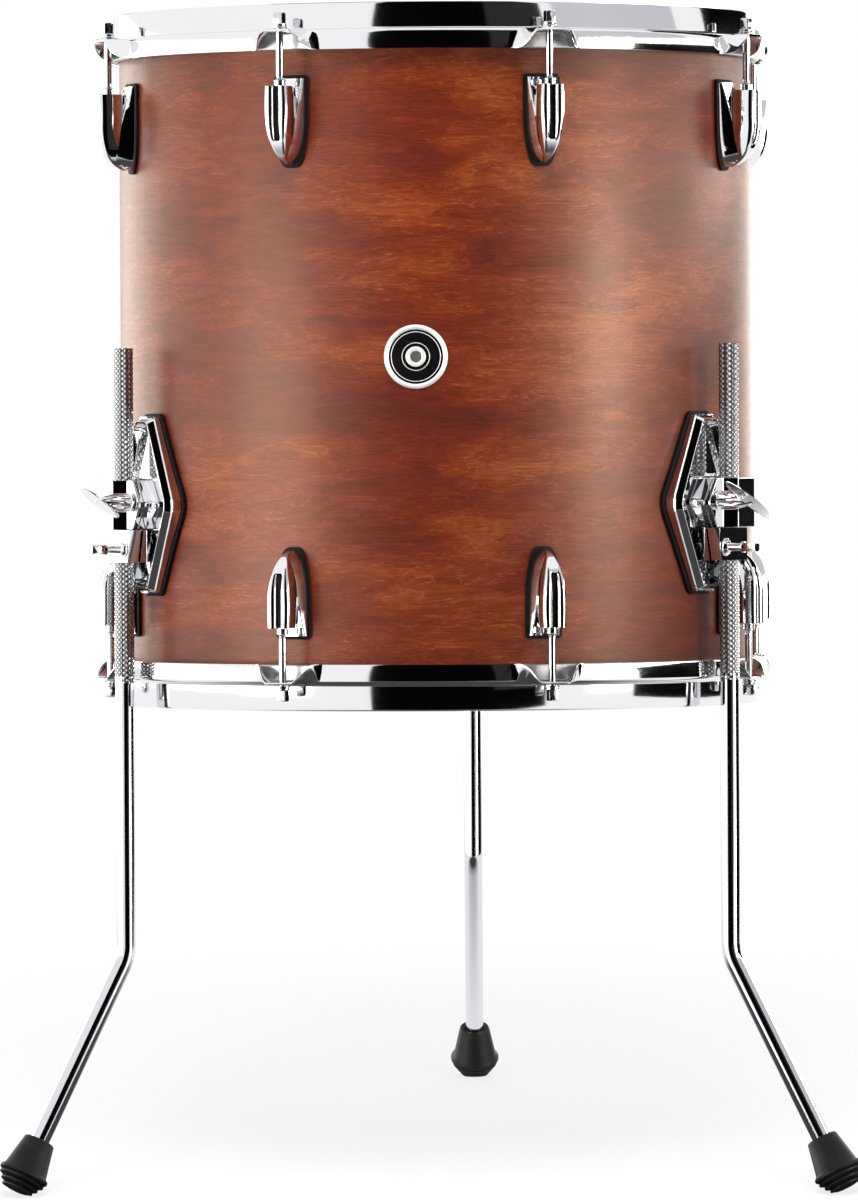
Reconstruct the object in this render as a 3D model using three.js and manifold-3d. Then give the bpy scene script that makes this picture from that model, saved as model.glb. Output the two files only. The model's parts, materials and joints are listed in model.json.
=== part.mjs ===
// Floor tom on three bent legs, badge towards -Y, drum axis leaning back on a shortened rear leg.
// Millimetres, +Z up. Angles round the drum are counted from the badge, positive towards +X.

import * as THREE from 'three';
import { mergeVertices } from 'three/addons/utils/BufferGeometryUtils.js';
import Module from 'manifold-3d';

const wasm = await Module();
wasm.setup();

const degrees = (value) => THREE.MathUtils.degToRad(value);

// Fits shared by every piece
const clearance = 0.3;
const overrun = 5;
const weld = 0.0001;

// Shell
const shellDiameter = 406.4;
const shellDepth = 406.4;
const shellWall = 5.5;
const edgeRound = 1.4;
const edgeBevel = degrees(30);
const roundSides = 64;

// Heads
const filmThickness = 0.4;
const fleshHoopWidth = 5.7;
const fleshHoopDepth = 6.4;
const filmShoulder = 0.9;

// Hoops
const hoopSteel = 2;
const collarPlay = 0.5;
const collarHeight = 16.4;
const fleshPlay = 1.3;
const skirtDepth = 13.1;
const earCount = 8;
const earHalfWidth = 7.7;
const earFlare = 24;
const earReach = 14;
const earHole = 3.2;

// Tension rods
const rodReach = 7.5;
const rodRadius = 2.6;
const washerRadius = 4.8;
const washerThickness = 1.2;
const keyHeadWidth = 5.8;
const keyHeadHeight = 8.6;
const rodEngagement = 12;

// Lugs
const lugHeight = 54;
const lugCentreDrop = 55.9;
const lugBaseWidth = 20.5;
const lugBaseThickness = 3.4;
const lugColumnWidth = 16;
const lugColumnDrop = 5.2;
const lugNotchDepth = 23;
const lugShoulder = 15;
const lugBevel = 1.3;

// Badge and vent
const badgeRadius = 20;
const badgeRimWidth = 3.2;
const badgeThickness = 1;
const badgeRimThickness = 1.6;
const ventRadius = 3.7;
const ventWall = 1.1;
const ventFlangeRadius = 6.35;
const ventFlangeThickness = 1;

// Leg brackets
const frontBracketAngle = degrees(57.5);
const bracketRise = 111.1;
const gasketThickness = 2.5;
const gasketMargin = 1.8;
const plateHalfWidth = 34.5;
const plateHalfHeight = 56;
const plateEndHalfWidth = 10;
const plateTipHalfHeight = 4;
const plateStep = 6.5;
const plateFront = 11;
const plateInset = 5;
const pocketRim = 3.6;
const pocketFloor = 5.5;
const bridgeHalfHeight = 11;

// Leg clamps, across the bracket from the leg side (positive) to the bolt side (negative)
const legOffset = 10;
const legStandoff = 18;
const clampFar = 25;
const clampNear = -15;
const clampHalfHeight = 15.6;
const clampSeam = 16.4;
const jawEarThickness = 3.9;
const jawFront = 29.5;
const jawSlope = 3.2;
const boltOffset = -6;
const boltRise = 1.5;
const boltRadius = 4;
const boltEnd = 8;
const boltSleeveRadius = 6;
const boltSleeveLength = 15.4;
const wingHalfWidth = 7;
const wingHalfThickness = 3;
const wingHubRadius = 5.4;
const wingTilts = { left: degrees(-20), right: degrees(-26), rear: degrees(-15) };

// Memory locks
const lockHeight = 20.5;
const lockNear = -17;
const lockFar = 22;
const lockBack = 11.4;
const lockFront = 26.4;
const lockCorner = 4;
const lockSlit = 1.6;
const lockBoltRadius = 2.6;
const lockBoltDrop = 1.85;
const lockBoltEnd = 50;
const lockBossRadius = 4.6;
const lockHeadWidth = 5.4;
const lockHeadLength = 8.6;
const lockCollarRadius = 3.6;

// Legs and feet
const knurlRadius = 6.35;
const tubeRadius = 6;
const legTop = 99.4;
const knurlEnd = -112.9;
const bendDrop = -287;
const bendRadius = 30;
const splay = degrees(28.5);
const splayLength = 165;
const legChamfer = 1;
const footLength = 35;
const footTopRadius = 10;
const footFlangeRadius = 16.25;
const footFlangeDrop = 22.5;
const footFlangeEdge = 2.5;
const footToeRadius = 9.2;
const footRibDepth = 0.8;
const footRibs = 3;
const footBore = 26;
const footWear = 0.9;

// The stance: how far the drum leans back from upright, and how each leg is turned in its clamp
const lean = degrees(5.8);
const legTurns = { left: 0, right: degrees(10), rear: degrees(3) };

// Sizes that follow from those above
const shellRadius = shellDiameter / 2;
const shellTop = shellDepth / 2;
const filmInner = shellRadius + clearance;
const filmOuter = filmInner + filmThickness;
const fleshOuter = filmInner + fleshHoopWidth;
const collarRadius = filmOuter + collarPlay + hoopSteel;
const skirtRadius = fleshOuter + fleshPlay + hoopSteel;
const rodCircle = skirtRadius + rodReach;
const filmTop = clearance + filmThickness;
const fleshTop = -filmShoulder;
const flangeBottom = fleshTop + clearance;
const flangeTop = flangeBottom + hoopSteel;
const earTop = shellTop + flangeTop;
const lugCentre = shellTop - lugCentreDrop;
const lugRodEnd = lugCentre + lugHeight / 2 - lugColumnDrop;
const rodStandoff = rodCircle - shellRadius;
const legClearRadius = knurlRadius + clearance;
const lockTop = -clampHalfHeight - clearance;
const lockBoltHeight = lockTop - lockHeight / 2 - lockBoltDrop;
const wingHalfSpan = boltRise - lockBoltHeight - lockHeadWidth / 2 - clearance;
const bracketDrop = shellTop - bracketRise;

// Materials
const finish = (color, roughness, metalness) => new THREE.MeshStandardMaterial({ color, roughness, metalness });
const stainedWood = () => finish('#7a3318', 0.42, 0);
const chrome = () => finish('#d9dadc', 0.08, 1);
const castChrome = () => finish('#cfd0d3', 0.12, 1);
const knurledSteel = () => finish('#bfc1c4', 0.3, 1);
const blackRubber = () => finish('#161617', 0.8, 0);
const coatedFilm = () => finish('#eeeeea', 0.55, 0);
const clearFilm = () => finish('#dfe3e5', 0.2, 0);
const enamelBadge = () => finish('#0d0d0e', 0.3, 0.2);

// Solids: a closed geometry becomes a manifold, is cut or joined, and comes back
function solidOf(geometry) {
  const bare = geometry.clone();
  bare.deleteAttribute('normal');
  bare.deleteAttribute('uv');
  const merged = mergeVertices(bare, weld);
  const corners = Array.from(merged.index.array);
  const kept = [];
  for (let i = 0; i < corners.length; i += 3) {
    const [a, b, c] = corners.slice(i, i + 3);
    if (a !== b && b !== c && c !== a) kept.push(a, b, c);
  }
  return new wasm.Manifold(new wasm.Mesh({
    numProp: 3,
    vertProperties: new Float32Array(merged.attributes.position.array),
    triVerts: new Uint32Array(kept),
  }));
}

function geometryOf(solid) {
  const mesh = solid.getMesh();
  const geometry = new THREE.BufferGeometry();
  geometry.setAttribute('position', new THREE.BufferAttribute(mesh.vertProperties, 3));
  geometry.setIndex(new THREE.BufferAttribute(mesh.triVerts, 1));
  geometry.computeVertexNormals();
  return geometry;
}

// Shapes turned or extruded about the frame's own axes
function turned(profile, sides) {
  const points = profile.map(([radius, height]) => new THREE.Vector2(radius, height));
  return new THREE.LatheGeometry(points, sides).rotateX(Math.PI / 2);
}

function rod(radius, from, to, sides) {
  return turned([[0, from], [radius, from], [radius, to], [0, to]], sides);
}

function outline(points) {
  return new THREE.Shape(points.map(([x, y]) => new THREE.Vector2(x, y)));
}

function risen(shape, from, to) {
  return new THREE.ExtrudeGeometry(shape, { depth: to - from, bevelEnabled: false }).translate(0, 0, from);
}

function outward(shape, from, to, curveSegments = 6) {
  const options = { depth: to - from, bevelEnabled: false, curveSegments };
  return new THREE.ExtrudeGeometry(shape, options).rotateX(Math.PI / 2).translate(0, to, 0);
}

const towardsOutside = (geometry) => geometry.rotateX(-Math.PI / 2);

// The shell: a wooden cylinder, bevelled inside and rounded outside at each edge, with the vent hole
function shellGeometry() {
  const inner = shellRadius - shellWall;
  const crest = shellRadius - edgeRound;
  const bevelDrop = (crest - inner) * Math.tan(edgeBevel);
  const wall = turned([
    [shellRadius, edgeRound - shellTop],
    [shellRadius, shellTop - edgeRound],
    [crest, shellTop],
    [inner, shellTop - bevelDrop],
    [inner, bevelDrop - shellTop],
    [crest, -shellTop],
    [shellRadius, edgeRound - shellTop],
  ], roundSides);
  const ventHole = ventRadius + ventWall + clearance;
  const drill = towardsOutside(rod(ventHole, inner - overrun, shellRadius + overrun, 20)).rotateZ(Math.PI);
  return geometryOf(solidOf(wall).subtract(solidOf(drill)));
}

// A head: film over the bearing edge, bonded into its flesh hoop
function headGeometry() {
  const fleshBottom = fleshTop - fleshHoopDepth;
  return geometryOf(solidOf(turned([
    [0, clearance],
    [shellRadius - edgeRound / 2, clearance],
    [filmInner, clearance - edgeRound],
    [filmInner, fleshBottom],
    [fleshOuter, fleshBottom],
    [fleshOuter, fleshTop],
    [filmOuter, fleshTop],
    [filmOuter - edgeRound, filmTop],
    [0, filmTop],
  ], roundSides)).translate([0, 0, shellTop]));
}

// A hoop: collar, flange and skirt, with the skirt lifting and reaching out to an ear at each rod
const stationsPerEar = 16;
const pitch = 2 * Math.PI / earCount;

function stationAngle(index) {
  const flat = earHalfWidth / skirtRadius;
  const flare = earFlare / skirtRadius;
  const half = stationsPerEar / 2;
  const flareStations = 3;
  const ear = Math.round(index / stationsPerEar);
  const step = index - ear * stationsPerEar;
  const distance = Math.abs(step);
  const plainStations = half - flareStations - 1;
  let offset = 0;
  if (distance >= 1) offset = flat + (flare - flat) * Math.min(distance - 1, flareStations) / flareStations;
  if (distance > flareStations + 1) {
    offset = flare + (pitch / 2 - flare) * (distance - flareStations - 1) / plainStations;
  }
  return { angle: (ear + 0.5) * pitch + Math.sign(step) * offset, lift: earLift(offset * skirtRadius) };
}

function earLift(offset) {
  return 1 - THREE.MathUtils.smoothstep(offset, earHalfWidth, earFlare);
}

function hoopGeometry() {
  const inner = collarRadius - hoopSteel;
  const skirtInner = skirtRadius - hoopSteel;
  const collarTop = flangeTop + collarHeight;
  const skirtBottom = flangeTop - skirtDepth;
  const profile = [
    [skirtInner, flangeBottom],
    [skirtInner, skirtBottom],
    [skirtRadius, skirtBottom],
    [skirtRadius, flangeTop],
    [collarRadius, flangeTop],
    [collarRadius, collarTop],
    [inner, collarTop],
    [inner, flangeBottom],
    [skirtInner, flangeBottom],
  ];
  const stations = earCount * stationsPerEar;
  const ring = turned(profile, stations);
  const positions = ring.attributes.position;
  for (let index = 0; index <= stations; index += 1) {
    const { angle, lift } = stationAngle(index);
    const direction = lift * Math.PI / 2 - Math.PI / 2;
    profile.forEach(([radius, height], place) => {
      let [r, z] = [radius, height];
      if (height === skirtBottom) {
        const hinge = radius === skirtRadius ? flangeTop : flangeBottom;
        const reach = hinge - skirtBottom;
        const length = reach + lift * (skirtRadius + earReach - radius - reach);
        r = radius + length * Math.cos(direction);
        z = hinge + length * Math.sin(direction);
      }
      positions.setXYZ(index * profile.length + place, r * Math.sin(angle), -r * Math.cos(angle), z);
    });
  }
  let hoop = solidOf(ring);
  for (let ear = 0; ear < earCount; ear += 1) {
    const hole = rod(earHole, flangeBottom - overrun, flangeTop + overrun, 12);
    hole.translate(0, -rodCircle, 0).rotateZ((ear + 0.5) * pitch);
    hoop = hoop.subtract(solidOf(hole));
  }
  return geometryOf(hoop.translate([0, 0, shellTop]));
}

// A tension rod: threaded shaft, washer and square key head; it hangs from its ear
function tensionRodGeometry() {
  const seat = clearance;
  const washerTop = seat + washerThickness;
  const tip = lugRodEnd - rodEngagement - earTop;
  const shaft = turned([
    [0, tip],
    [rodRadius, tip],
    [rodRadius, seat],
    [washerRadius, seat],
    [washerRadius, washerTop],
    [0, washerTop],
  ], 8);
  const head = new THREE.BoxGeometry(keyHeadWidth, keyHeadWidth, keyHeadHeight + washerThickness);
  head.translate(0, 0, seat + (keyHeadHeight + washerThickness) / 2);
  return geometryOf(solidOf(shaft).add(solidOf(head)));
}

// A lug: base, column round the rod, and the ridge from the base's rod end to the column
function lugGeometry() {
  const half = lugHeight / 2;
  const columnBack = rodStandoff - lugColumnWidth / 2;
  const columnFront = rodStandoff + lugColumnWidth / 2;
  const columnEnd = half - lugColumnDrop;
  const side = new THREE.Shape();
  side.moveTo(clearance, lugBevel - half);
  side.lineTo(lugBaseThickness, lugBevel - half);
  side.quadraticCurveTo(columnFront, -half / 2, columnFront, columnEnd - lugShoulder);
  side.lineTo(columnFront - lugBevel, columnEnd);
  side.lineTo(columnBack, columnEnd);
  side.lineTo(columnBack + lugBevel, columnEnd - lugNotchDepth);
  side.lineTo(lugBaseThickness, half - lugBevel);
  side.lineTo(clearance, half - lugBevel);
  const body = new THREE.ExtrudeGeometry(side, {
    depth: lugColumnWidth - 2 * lugBevel,
    bevelThickness: lugBevel,
    bevelSize: lugBevel,
    bevelOffset: -lugBevel,
    bevelSegments: 1,
    curveSegments: 4,
  });
  body.translate(0, 0, lugBevel - lugColumnWidth / 2);
  const sideways = new THREE.Matrix4().makeBasis(
    new THREE.Vector3(0, 1, 0),
    new THREE.Vector3(0, 0, 1),
    new THREE.Vector3(1, 0, 0),
  );
  body.applyMatrix4(sideways);
  const radius = lugBaseWidth / 2;
  const base = new THREE.Shape();
  base.absarc(0, half - radius, radius, 0, Math.PI);
  base.absarc(0, radius - half, radius, Math.PI, 2 * Math.PI);
  const bore = rod(rodRadius + clearance, columnEnd - rodEngagement - clearance, columnEnd + overrun, 8);
  bore.translate(0, rodStandoff, 0);
  const casting = solidOf(body).add(solidOf(outward(base, clearance, lugBaseThickness, 4)));
  return geometryOf(casting.subtract(solidOf(bore)));
}

// The badge: a dished disc that follows the shell, with a raised rim, held by the vent grommet
function annularSkin(radius, hole, thickness) {
  const shape = new THREE.Shape().absarc(0, 0, radius, 0, 2 * Math.PI);
  shape.holes.push(new THREE.Path().absarc(0, 0, hole, 0, 2 * Math.PI, true));
  const inner = shellRadius + clearance;
  const slab = solidOf(outward(shape, inner - overrun, inner + overrun, 8));
  const height = radius + overrun;
  const skin = turned([
    [inner, -height],
    [inner + thickness, -height],
    [inner + thickness, height],
    [inner, height],
    [inner, -height],
  ], roundSides);
  return slab.intersect(solidOf(skin));
}

function badgeGeometry() {
  const hole = ventRadius + ventWall + clearance;
  const disc = annularSkin(badgeRadius - badgeRimWidth / 2, hole, badgeThickness);
  return geometryOf(disc.add(annularSkin(badgeRadius, badgeRadius - badgeRimWidth, badgeRimThickness)));
}

function ventGrommetGeometry() {
  const tube = ventRadius + ventWall;
  const outer = shellRadius + clearance + badgeThickness + clearance;
  const inner = shellRadius - shellWall - clearance;
  return geometryOf(solidOf(towardsOutside(turned([
    [ventRadius, inner - ventFlangeThickness],
    [ventFlangeRadius, inner - ventFlangeThickness],
    [ventFlangeRadius, inner - ventFlangeThickness / 2],
    [tube, inner],
    [tube, outer],
    [ventFlangeRadius, outer],
    [ventFlangeRadius, outer + ventFlangeThickness / 2],
    [tube, outer + ventFlangeThickness],
    [ventRadius, outer + ventFlangeThickness],
    [ventRadius, inner - ventFlangeThickness],
  ], 16))));
}

// The leg bracket: a stepped plate with two pockets, and a bridge that carries the fixed half clamp
function plateOutline(halfWidth, halfHeight, endHalfWidth) {
  return outline([
    [halfWidth, -plateTipHalfHeight],
    [halfWidth, plateTipHalfHeight],
    [endHalfWidth, halfHeight],
    [-endHalfWidth, halfHeight],
    [-halfWidth, plateTipHalfHeight],
    [-halfWidth, -plateTipHalfHeight],
    [-endHalfWidth, -halfHeight],
    [endHalfWidth, -halfHeight],
  ]);
}

function pocketOutline() {
  const slope = (plateHalfWidth - plateEndHalfWidth) / (plateHalfHeight - plateTipHalfHeight);
  const top = plateHalfHeight - plateInset - pocketRim;
  const bottom = bridgeHalfHeight + pocketRim / 2;
  const rim = plateInset + pocketRim;
  const halfWidthAt = (height) => plateEndHalfWidth + (plateHalfHeight - height) * slope - rim;
  return outline([
    [-halfWidthAt(bottom), bottom],
    [halfWidthAt(bottom), bottom],
    [halfWidthAt(top), top],
    [-halfWidthAt(top), top],
  ]);
}

function fromShell(shape, near, far) {
  return solidOf(outward(shape, shellRadius + near, shellRadius + far));
}

function roundShell(radius) {
  return solidOf(rod(radius, -shellTop, shellTop, 2 * roundSides));
}

function legBore(hand) {
  const bore = rod(legClearRadius, -shellTop, shellTop, 20);
  return solidOf(bore.translate(hand * legOffset, shellRadius + legStandoff, 0));
}

function boltBore(hand, from, to) {
  const bore = towardsOutside(rod(boltRadius + clearance, shellRadius + from, shellRadius + to, 12));
  return solidOf(bore.translate(hand * boltOffset, 0, boltRise));
}

function bracketGeometry(hand) {
  const plateTop = plateHalfHeight - plateInset;
  const stepHalfWidth = plateHalfWidth - plateInset;
  const lower = plateOutline(plateHalfWidth, plateHalfHeight, plateEndHalfWidth);
  const upper = plateOutline(stepHalfWidth, plateTop, plateEndHalfWidth - plateInset / 2);
  const bridge = outline([
    [-plateHalfWidth, shellRadius + plateStep - gasketThickness],
    [plateHalfWidth, shellRadius + plateStep - gasketThickness],
    [plateHalfWidth, shellRadius + plateStep],
    [hand > 0 ? clampFar : -clampNear, shellRadius + clampSeam],
    [hand > 0 ? clampNear : -clampFar, shellRadius + clampSeam],
    [-plateHalfWidth, shellRadius + plateStep],
  ]);
  const block = outline([
    [hand * clampNear, shellRadius + plateStep],
    [hand * clampFar, shellRadius + plateStep],
    [hand * clampFar, shellRadius + clampSeam],
    [hand * clampNear, shellRadius + clampSeam],
  ]);
  const pocket = fromShell(pocketOutline(), pocketFloor, plateFront + overrun);
  return geometryOf(fromShell(lower, -overrun, plateStep)
    .add(fromShell(upper, 0, plateFront))
    .subtract(pocket)
    .subtract(pocket.rotate([0, 180, 0]))
    .add(solidOf(risen(bridge, -bridgeHalfHeight, bridgeHalfHeight)))
    .add(solidOf(risen(block, -clampHalfHeight, clampHalfHeight)))
    .subtract(roundShell(shellRadius + gasketThickness + 2 * clearance))
    .subtract(legBore(hand))
    .subtract(boltBore(hand, boltEnd - clearance, clampSeam + overrun)));
}

function gasketGeometry() {
  const inner = shellRadius + clearance;
  const shape = plateOutline(
    plateHalfWidth + gasketMargin,
    plateHalfHeight + gasketMargin,
    plateEndHalfWidth + gasketMargin,
  );
  return geometryOf(fromShell(shape, -2 * overrun, 2 * overrun)
    .intersect(roundShell(inner + gasketThickness))
    .subtract(roundShell(inner)));
}

// The clamp jaw: an ear for the wing bolt and a thicker wall round the leg
function jawGeometry(hand) {
  const back = clampSeam + clearance;
  const earFront = back + jawEarThickness;
  const wallNear = boltOffset + boltSleeveRadius + clearance;
  const plan = outline([
    [hand * clampNear, shellRadius + back],
    [hand * clampFar, shellRadius + back],
    [hand * clampFar, shellRadius + jawFront - jawSlope],
    [hand * (clampFar - jawSlope), shellRadius + jawFront],
    [hand * (wallNear + jawSlope), shellRadius + jawFront],
    [hand * wallNear, shellRadius + earFront],
    [hand * clampNear, shellRadius + earFront],
  ]);
  return geometryOf(solidOf(risen(plan, -clampHalfHeight, clampHalfHeight))
    .subtract(legBore(hand))
    .subtract(boltBore(hand, 0, jawFront + overrun)));
}

// The wing bolt: shank, sleeve and a two-bladed wing that swings clear of the lock's key head, along +Z
function wingBoltGeometry() {
  const sleeveStart = clampSeam + clearance + jawEarThickness + clearance;
  const sleeveEnd = sleeveStart + boltSleeveLength;
  const wingCentre = sleeveEnd + wingHalfWidth;
  const shank = turned([
    [0, boltEnd],
    [boltRadius, boltEnd],
    [boltRadius, sleeveStart],
    [boltSleeveRadius, sleeveStart],
    [boltSleeveRadius, sleeveEnd],
    [wingHubRadius, sleeveEnd],
    [wingHubRadius, wingCentre + wingHalfWidth],
    [0, wingCentre + wingHalfWidth],
  ], 12);
  const wing = new THREE.SphereGeometry(1, 12, 6);
  wing.scale(wingHalfSpan, wingHalfThickness, wingHalfWidth).translate(0, 0, wingCentre);
  return geometryOf(solidOf(shank).add(solidOf(wing)));
}

// The memory lock: a split collar round the leg, with its key bolt through both halves
function lockGeometry(hand) {
  const plan = outline([
    [hand * lockNear, shellRadius + lockBack],
    [hand * lockFar, shellRadius + lockBack],
    [hand * lockFar, shellRadius + lockFront - lockCorner],
    [hand * (lockFar - lockCorner), shellRadius + lockFront],
    [hand * (lockNear + lockCorner), shellRadius + lockFront],
    [hand * lockNear, shellRadius + lockFront - lockCorner],
  ]);
  const slit = new THREE.BoxGeometry(legOffset - lockNear, lockSlit, lockHeight + 2 * overrun);
  slit.translate(hand * lockNear + hand * (legOffset - lockNear) / 2, shellRadius + legStandoff, 0);
  slit.translate(0, 0, lockTop - lockHeight / 2);
  const headStart = lockBoltEnd - lockHeadLength;
  const bolt = towardsOutside(turned([
    [0, lockBack],
    [lockBoltRadius, lockBack],
    [lockBoltRadius, lockFront],
    [lockBossRadius, lockFront],
    [lockBossRadius, lockFront + lockBossRadius],
    [lockBoltRadius, lockFront + 2 * lockBossRadius],
    [lockBoltRadius, headStart - lockBoltRadius],
    [lockCollarRadius, headStart - lockBoltRadius],
    [lockCollarRadius, headStart],
    [0, headStart],
  ], 8));
  const head = new THREE.BoxGeometry(lockHeadWidth, lockHeadLength + lockBoltRadius, lockHeadWidth);
  head.translate(0, headStart + (lockHeadLength - lockBoltRadius) / 2, 0);
  const key = solidOf(bolt).add(solidOf(head));
  return geometryOf(solidOf(risen(plan, lockTop - lockHeight, lockTop))
    .subtract(legBore(hand))
    .subtract(solidOf(slit))
    .add(key.translate([hand * boltOffset, shellRadius, lockBoltHeight])));
}

// The leg's centre line below the knurl: straight, one bend, straight again, with stations in the bend
class LegLine extends THREE.Curve {
  constructor() {
    super();
    this.tangent = bendRadius * Math.tan(splay / 2);
    this.bendStations = 5;
    this.stations = this.bendStations + 2;
  }

  getPoint(t) {
    const station = t * this.stations;
    if (station <= 1) {
      const start = knurlEnd + knurlRadius;
      return new THREE.Vector3(0, 0, start + (bendDrop + this.tangent - start) * station);
    }
    const turn = splay * Math.min((station - 1) / this.bendStations, 1);
    const along = Math.max(station - 1 - this.bendStations, 0) * (splayLength - this.tangent - footLength + footBore);
    const y = bendRadius * (1 - Math.cos(turn)) + along * Math.sin(splay);
    const z = bendDrop + this.tangent - bendRadius * Math.sin(turn) - along * Math.cos(splay);
    return new THREE.Vector3(0, y, z);
  }

  getUtoTmapping(u) {
    return u;
  }
}

function legGeometry() {
  const line = new LegLine();
  const section = new THREE.Shape().absarc(0, 0, tubeRadius, 0, 2 * Math.PI);
  const tube = new THREE.ExtrudeGeometry(section, {
    steps: line.stations,
    extrudePath: line,
    bevelEnabled: false,
    curveSegments: 7,
  });
  const knurled = turned([
    [0, knurlEnd],
    [knurlRadius, knurlEnd],
    [knurlRadius, legTop - legChamfer],
    [knurlRadius - legChamfer, legTop],
    [0, legTop],
  ], 14);
  return geometryOf(solidOf(tube).add(solidOf(knurled)));
}

// A rubber foot: bored for the leg, flanged, with a ribbed toe; worn flat where it meets the floor
function footGeometry(place) {
  const bore = tubeRadius + clearance;
  const flangeEnd = footFlangeDrop + footFlangeEdge;
  const ribPitch = (footLength - flangeEnd) / footRibs;
  const profile = [
    [0, footBore + clearance],
    [bore, footBore + clearance],
    [bore, 0],
    [footTopRadius, 0],
    [footFlangeRadius - footRibDepth, footFlangeDrop],
    [footFlangeRadius, flangeEnd],
  ];
  for (let rib = 1; rib <= footRibs; rib += 1) {
    const share = rib / footRibs;
    const radius = footFlangeRadius + (footToeRadius - footFlangeRadius) * share;
    profile.push([radius, flangeEnd + rib * ribPitch - ribPitch * footRibDepth / footFlangeEdge]);
    profile.push([radius - footRibDepth, flangeEnd + rib * ribPitch]);
  }
  profile.push([0, footLength]);
  const foot = turned(profile.map(([radius, drop]) => [radius, -drop]).reverse(), 16);
  foot.translate(0, 0, footLength - splayLength).rotateX(splay).translate(0, 0, bendDrop);
  const floor = new THREE.BoxGeometry(shellDiameter, shellDiameter, shellDiameter);
  const whole = solidOf(foot.applyMatrix4(place));
  const reach = new THREE.Box3().setFromBufferAttribute(foot.attributes.position);
  const centre = reach.getCenter(new THREE.Vector3());
  floor.translate(centre.x, centre.y, footWear - shellRadius);
  const worn = geometryOf(whole.subtract(solidOf(floor)));
  return worn.applyMatrix4(place.clone().invert());
}

// Placing: a station faces outwards along +Y at its angle; an end turns the pieces of the lower rim over
function station(angle) {
  const group = new THREE.Group();
  group.rotation.z = angle + Math.PI;
  return group;
}

function piece(name, geometry, material, x = 0, y = 0, z = 0) {
  const mesh = new THREE.Mesh(geometry, material);
  mesh.name = name;
  mesh.position.set(x, y, z);
  return mesh;
}

function ends() {
  const head = headGeometry();
  const hoop = hoopGeometry();
  const lug = lugGeometry();
  const tensionRod = tensionRodGeometry();
  const films = { batter: coatedFilm, resonant: clearFilm };
  return Object.keys(films).map((side, index) => {
    const group = new THREE.Group();
    group.rotation.x = index * Math.PI;
    group.add(piece(`${side}_head`, head, films[side]()), piece(`${side}_hoop`, hoop, chrome()));
    for (let ear = 0; ear < earCount; ear += 1) {
      const angle = (ear + 0.5) * pitch;
      const place = station(index ? Math.PI - angle : angle);
      place.add(
        piece(`lug_${side}_${ear + 1}`, lug, castChrome(), 0, shellRadius, lugCentre),
        piece(`tension_rod_${side}_${ear + 1}`, tensionRod, chrome(), 0, rodCircle, earTop),
      );
      group.add(place);
    }
    return group;
  });
}

// Each leg's place: the angle of its bracket, the side its leg is on, and the leg's turn in its clamp
const legPlaces = {
  left: { angle: -frontBracketAngle, hand: 1, turn: legTurns.left },
  right: { angle: frontBracketAngle, hand: -1, turn: legTurns.right },
  rear: { angle: Math.PI, hand: 1, turn: legTurns.rear },
};

const upright = new THREE.Matrix4().makeRotationX(-lean);

function legAxis({ angle, hand, turn }, height) {
  return new THREE.Matrix4().makeRotationZ(angle + Math.PI)
    .multiply(new THREE.Matrix4().makeTranslation(hand * legOffset, shellRadius + legStandoff, height))
    .multiply(new THREE.Matrix4().makeRotationZ(turn));
}

function toeHeight(place) {
  const frame = upright.clone().multiply(legAxis(place, -bracketDrop));
  const splayed = new THREE.Vector3(0, Math.sin(splay), -Math.cos(splay));
  const toe = splayed.clone().multiplyScalar(splayLength);
  toe.z += bendDrop;
  const tilt = splayed.transformDirection(frame).z;
  return toe.applyMatrix4(frame).z - (footToeRadius - footRibDepth) * Math.sqrt(1 - tilt * tilt);
}

const floorDrop = toeHeight(legPlaces.left);

function drawnUp(place) {
  return (floorDrop - toeHeight(place)) / Math.cos(lean);
}

function legStation(side) {
  const place = legPlaces[side];
  const { angle, hand, turn } = place;
  const group = station(angle);
  const axis = [hand * legOffset, shellRadius + legStandoff];
  const height = drawnUp(place) - bracketDrop;
  const world = new THREE.Matrix4().makeTranslation(0, 0, -floorDrop)
    .multiply(upright)
    .multiply(legAxis(place, height));
  const bolt = new THREE.Group();
  bolt.position.set(hand * boltOffset, shellRadius, boltRise - bracketDrop);
  bolt.rotation.x = -Math.PI / 2;
  const wing = piece(`wing_bolt_${side}`, wingBoltGeometry(), chrome());
  wing.rotation.z = wingTilts[side];
  bolt.add(wing);
  const leg = piece(`leg_${side}`, legGeometry(), knurledSteel(), ...axis, height);
  const foot = piece(`foot_${side}`, footGeometry(world), blackRubber(), ...axis, height);
  leg.rotation.z = turn;
  foot.rotation.z = turn;
  group.add(
    piece(`bracket_gasket_${side}`, gasketGeometry(), blackRubber(), 0, 0, -bracketDrop),
    piece(`leg_bracket_${side}`, bracketGeometry(hand), castChrome(), 0, 0, -bracketDrop),
    piece(`clamp_jaw_${side}`, jawGeometry(hand), castChrome(), 0, 0, -bracketDrop),
    piece(`memory_lock_${side}`, lockGeometry(hand), castChrome(), 0, 0, -bracketDrop),
    leg,
    foot,
    bolt,
  );
  return group;
}

function front() {
  const group = station(0);
  group.add(
    piece('badge', badgeGeometry(), enamelBadge()),
    piece('vent_grommet', ventGrommetGeometry(), chrome()),
  );
  return group;
}

function floorTom() {
  const drum = new THREE.Group();
  drum.rotation.x = -lean;
  drum.position.z = -floorDrop;
  drum.add(piece('shell', shellGeometry(), stainedWood()), front(), ...ends());
  drum.add(...Object.keys(legPlaces).map(legStation));
  const whole = new THREE.Group();
  whole.add(drum);
  const box = new THREE.Box3().setFromObject(whole, true);
  whole.position.set(-(box.min.x + box.max.x) / 2, -(box.min.y + box.max.y) / 2, -box.min.z);
  return whole;
}

export default floorTom();
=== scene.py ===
"""Floor tom: the fine surfaces and finishes around the fixed frame. Metres, +Z up, badge towards -Y."""

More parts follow.
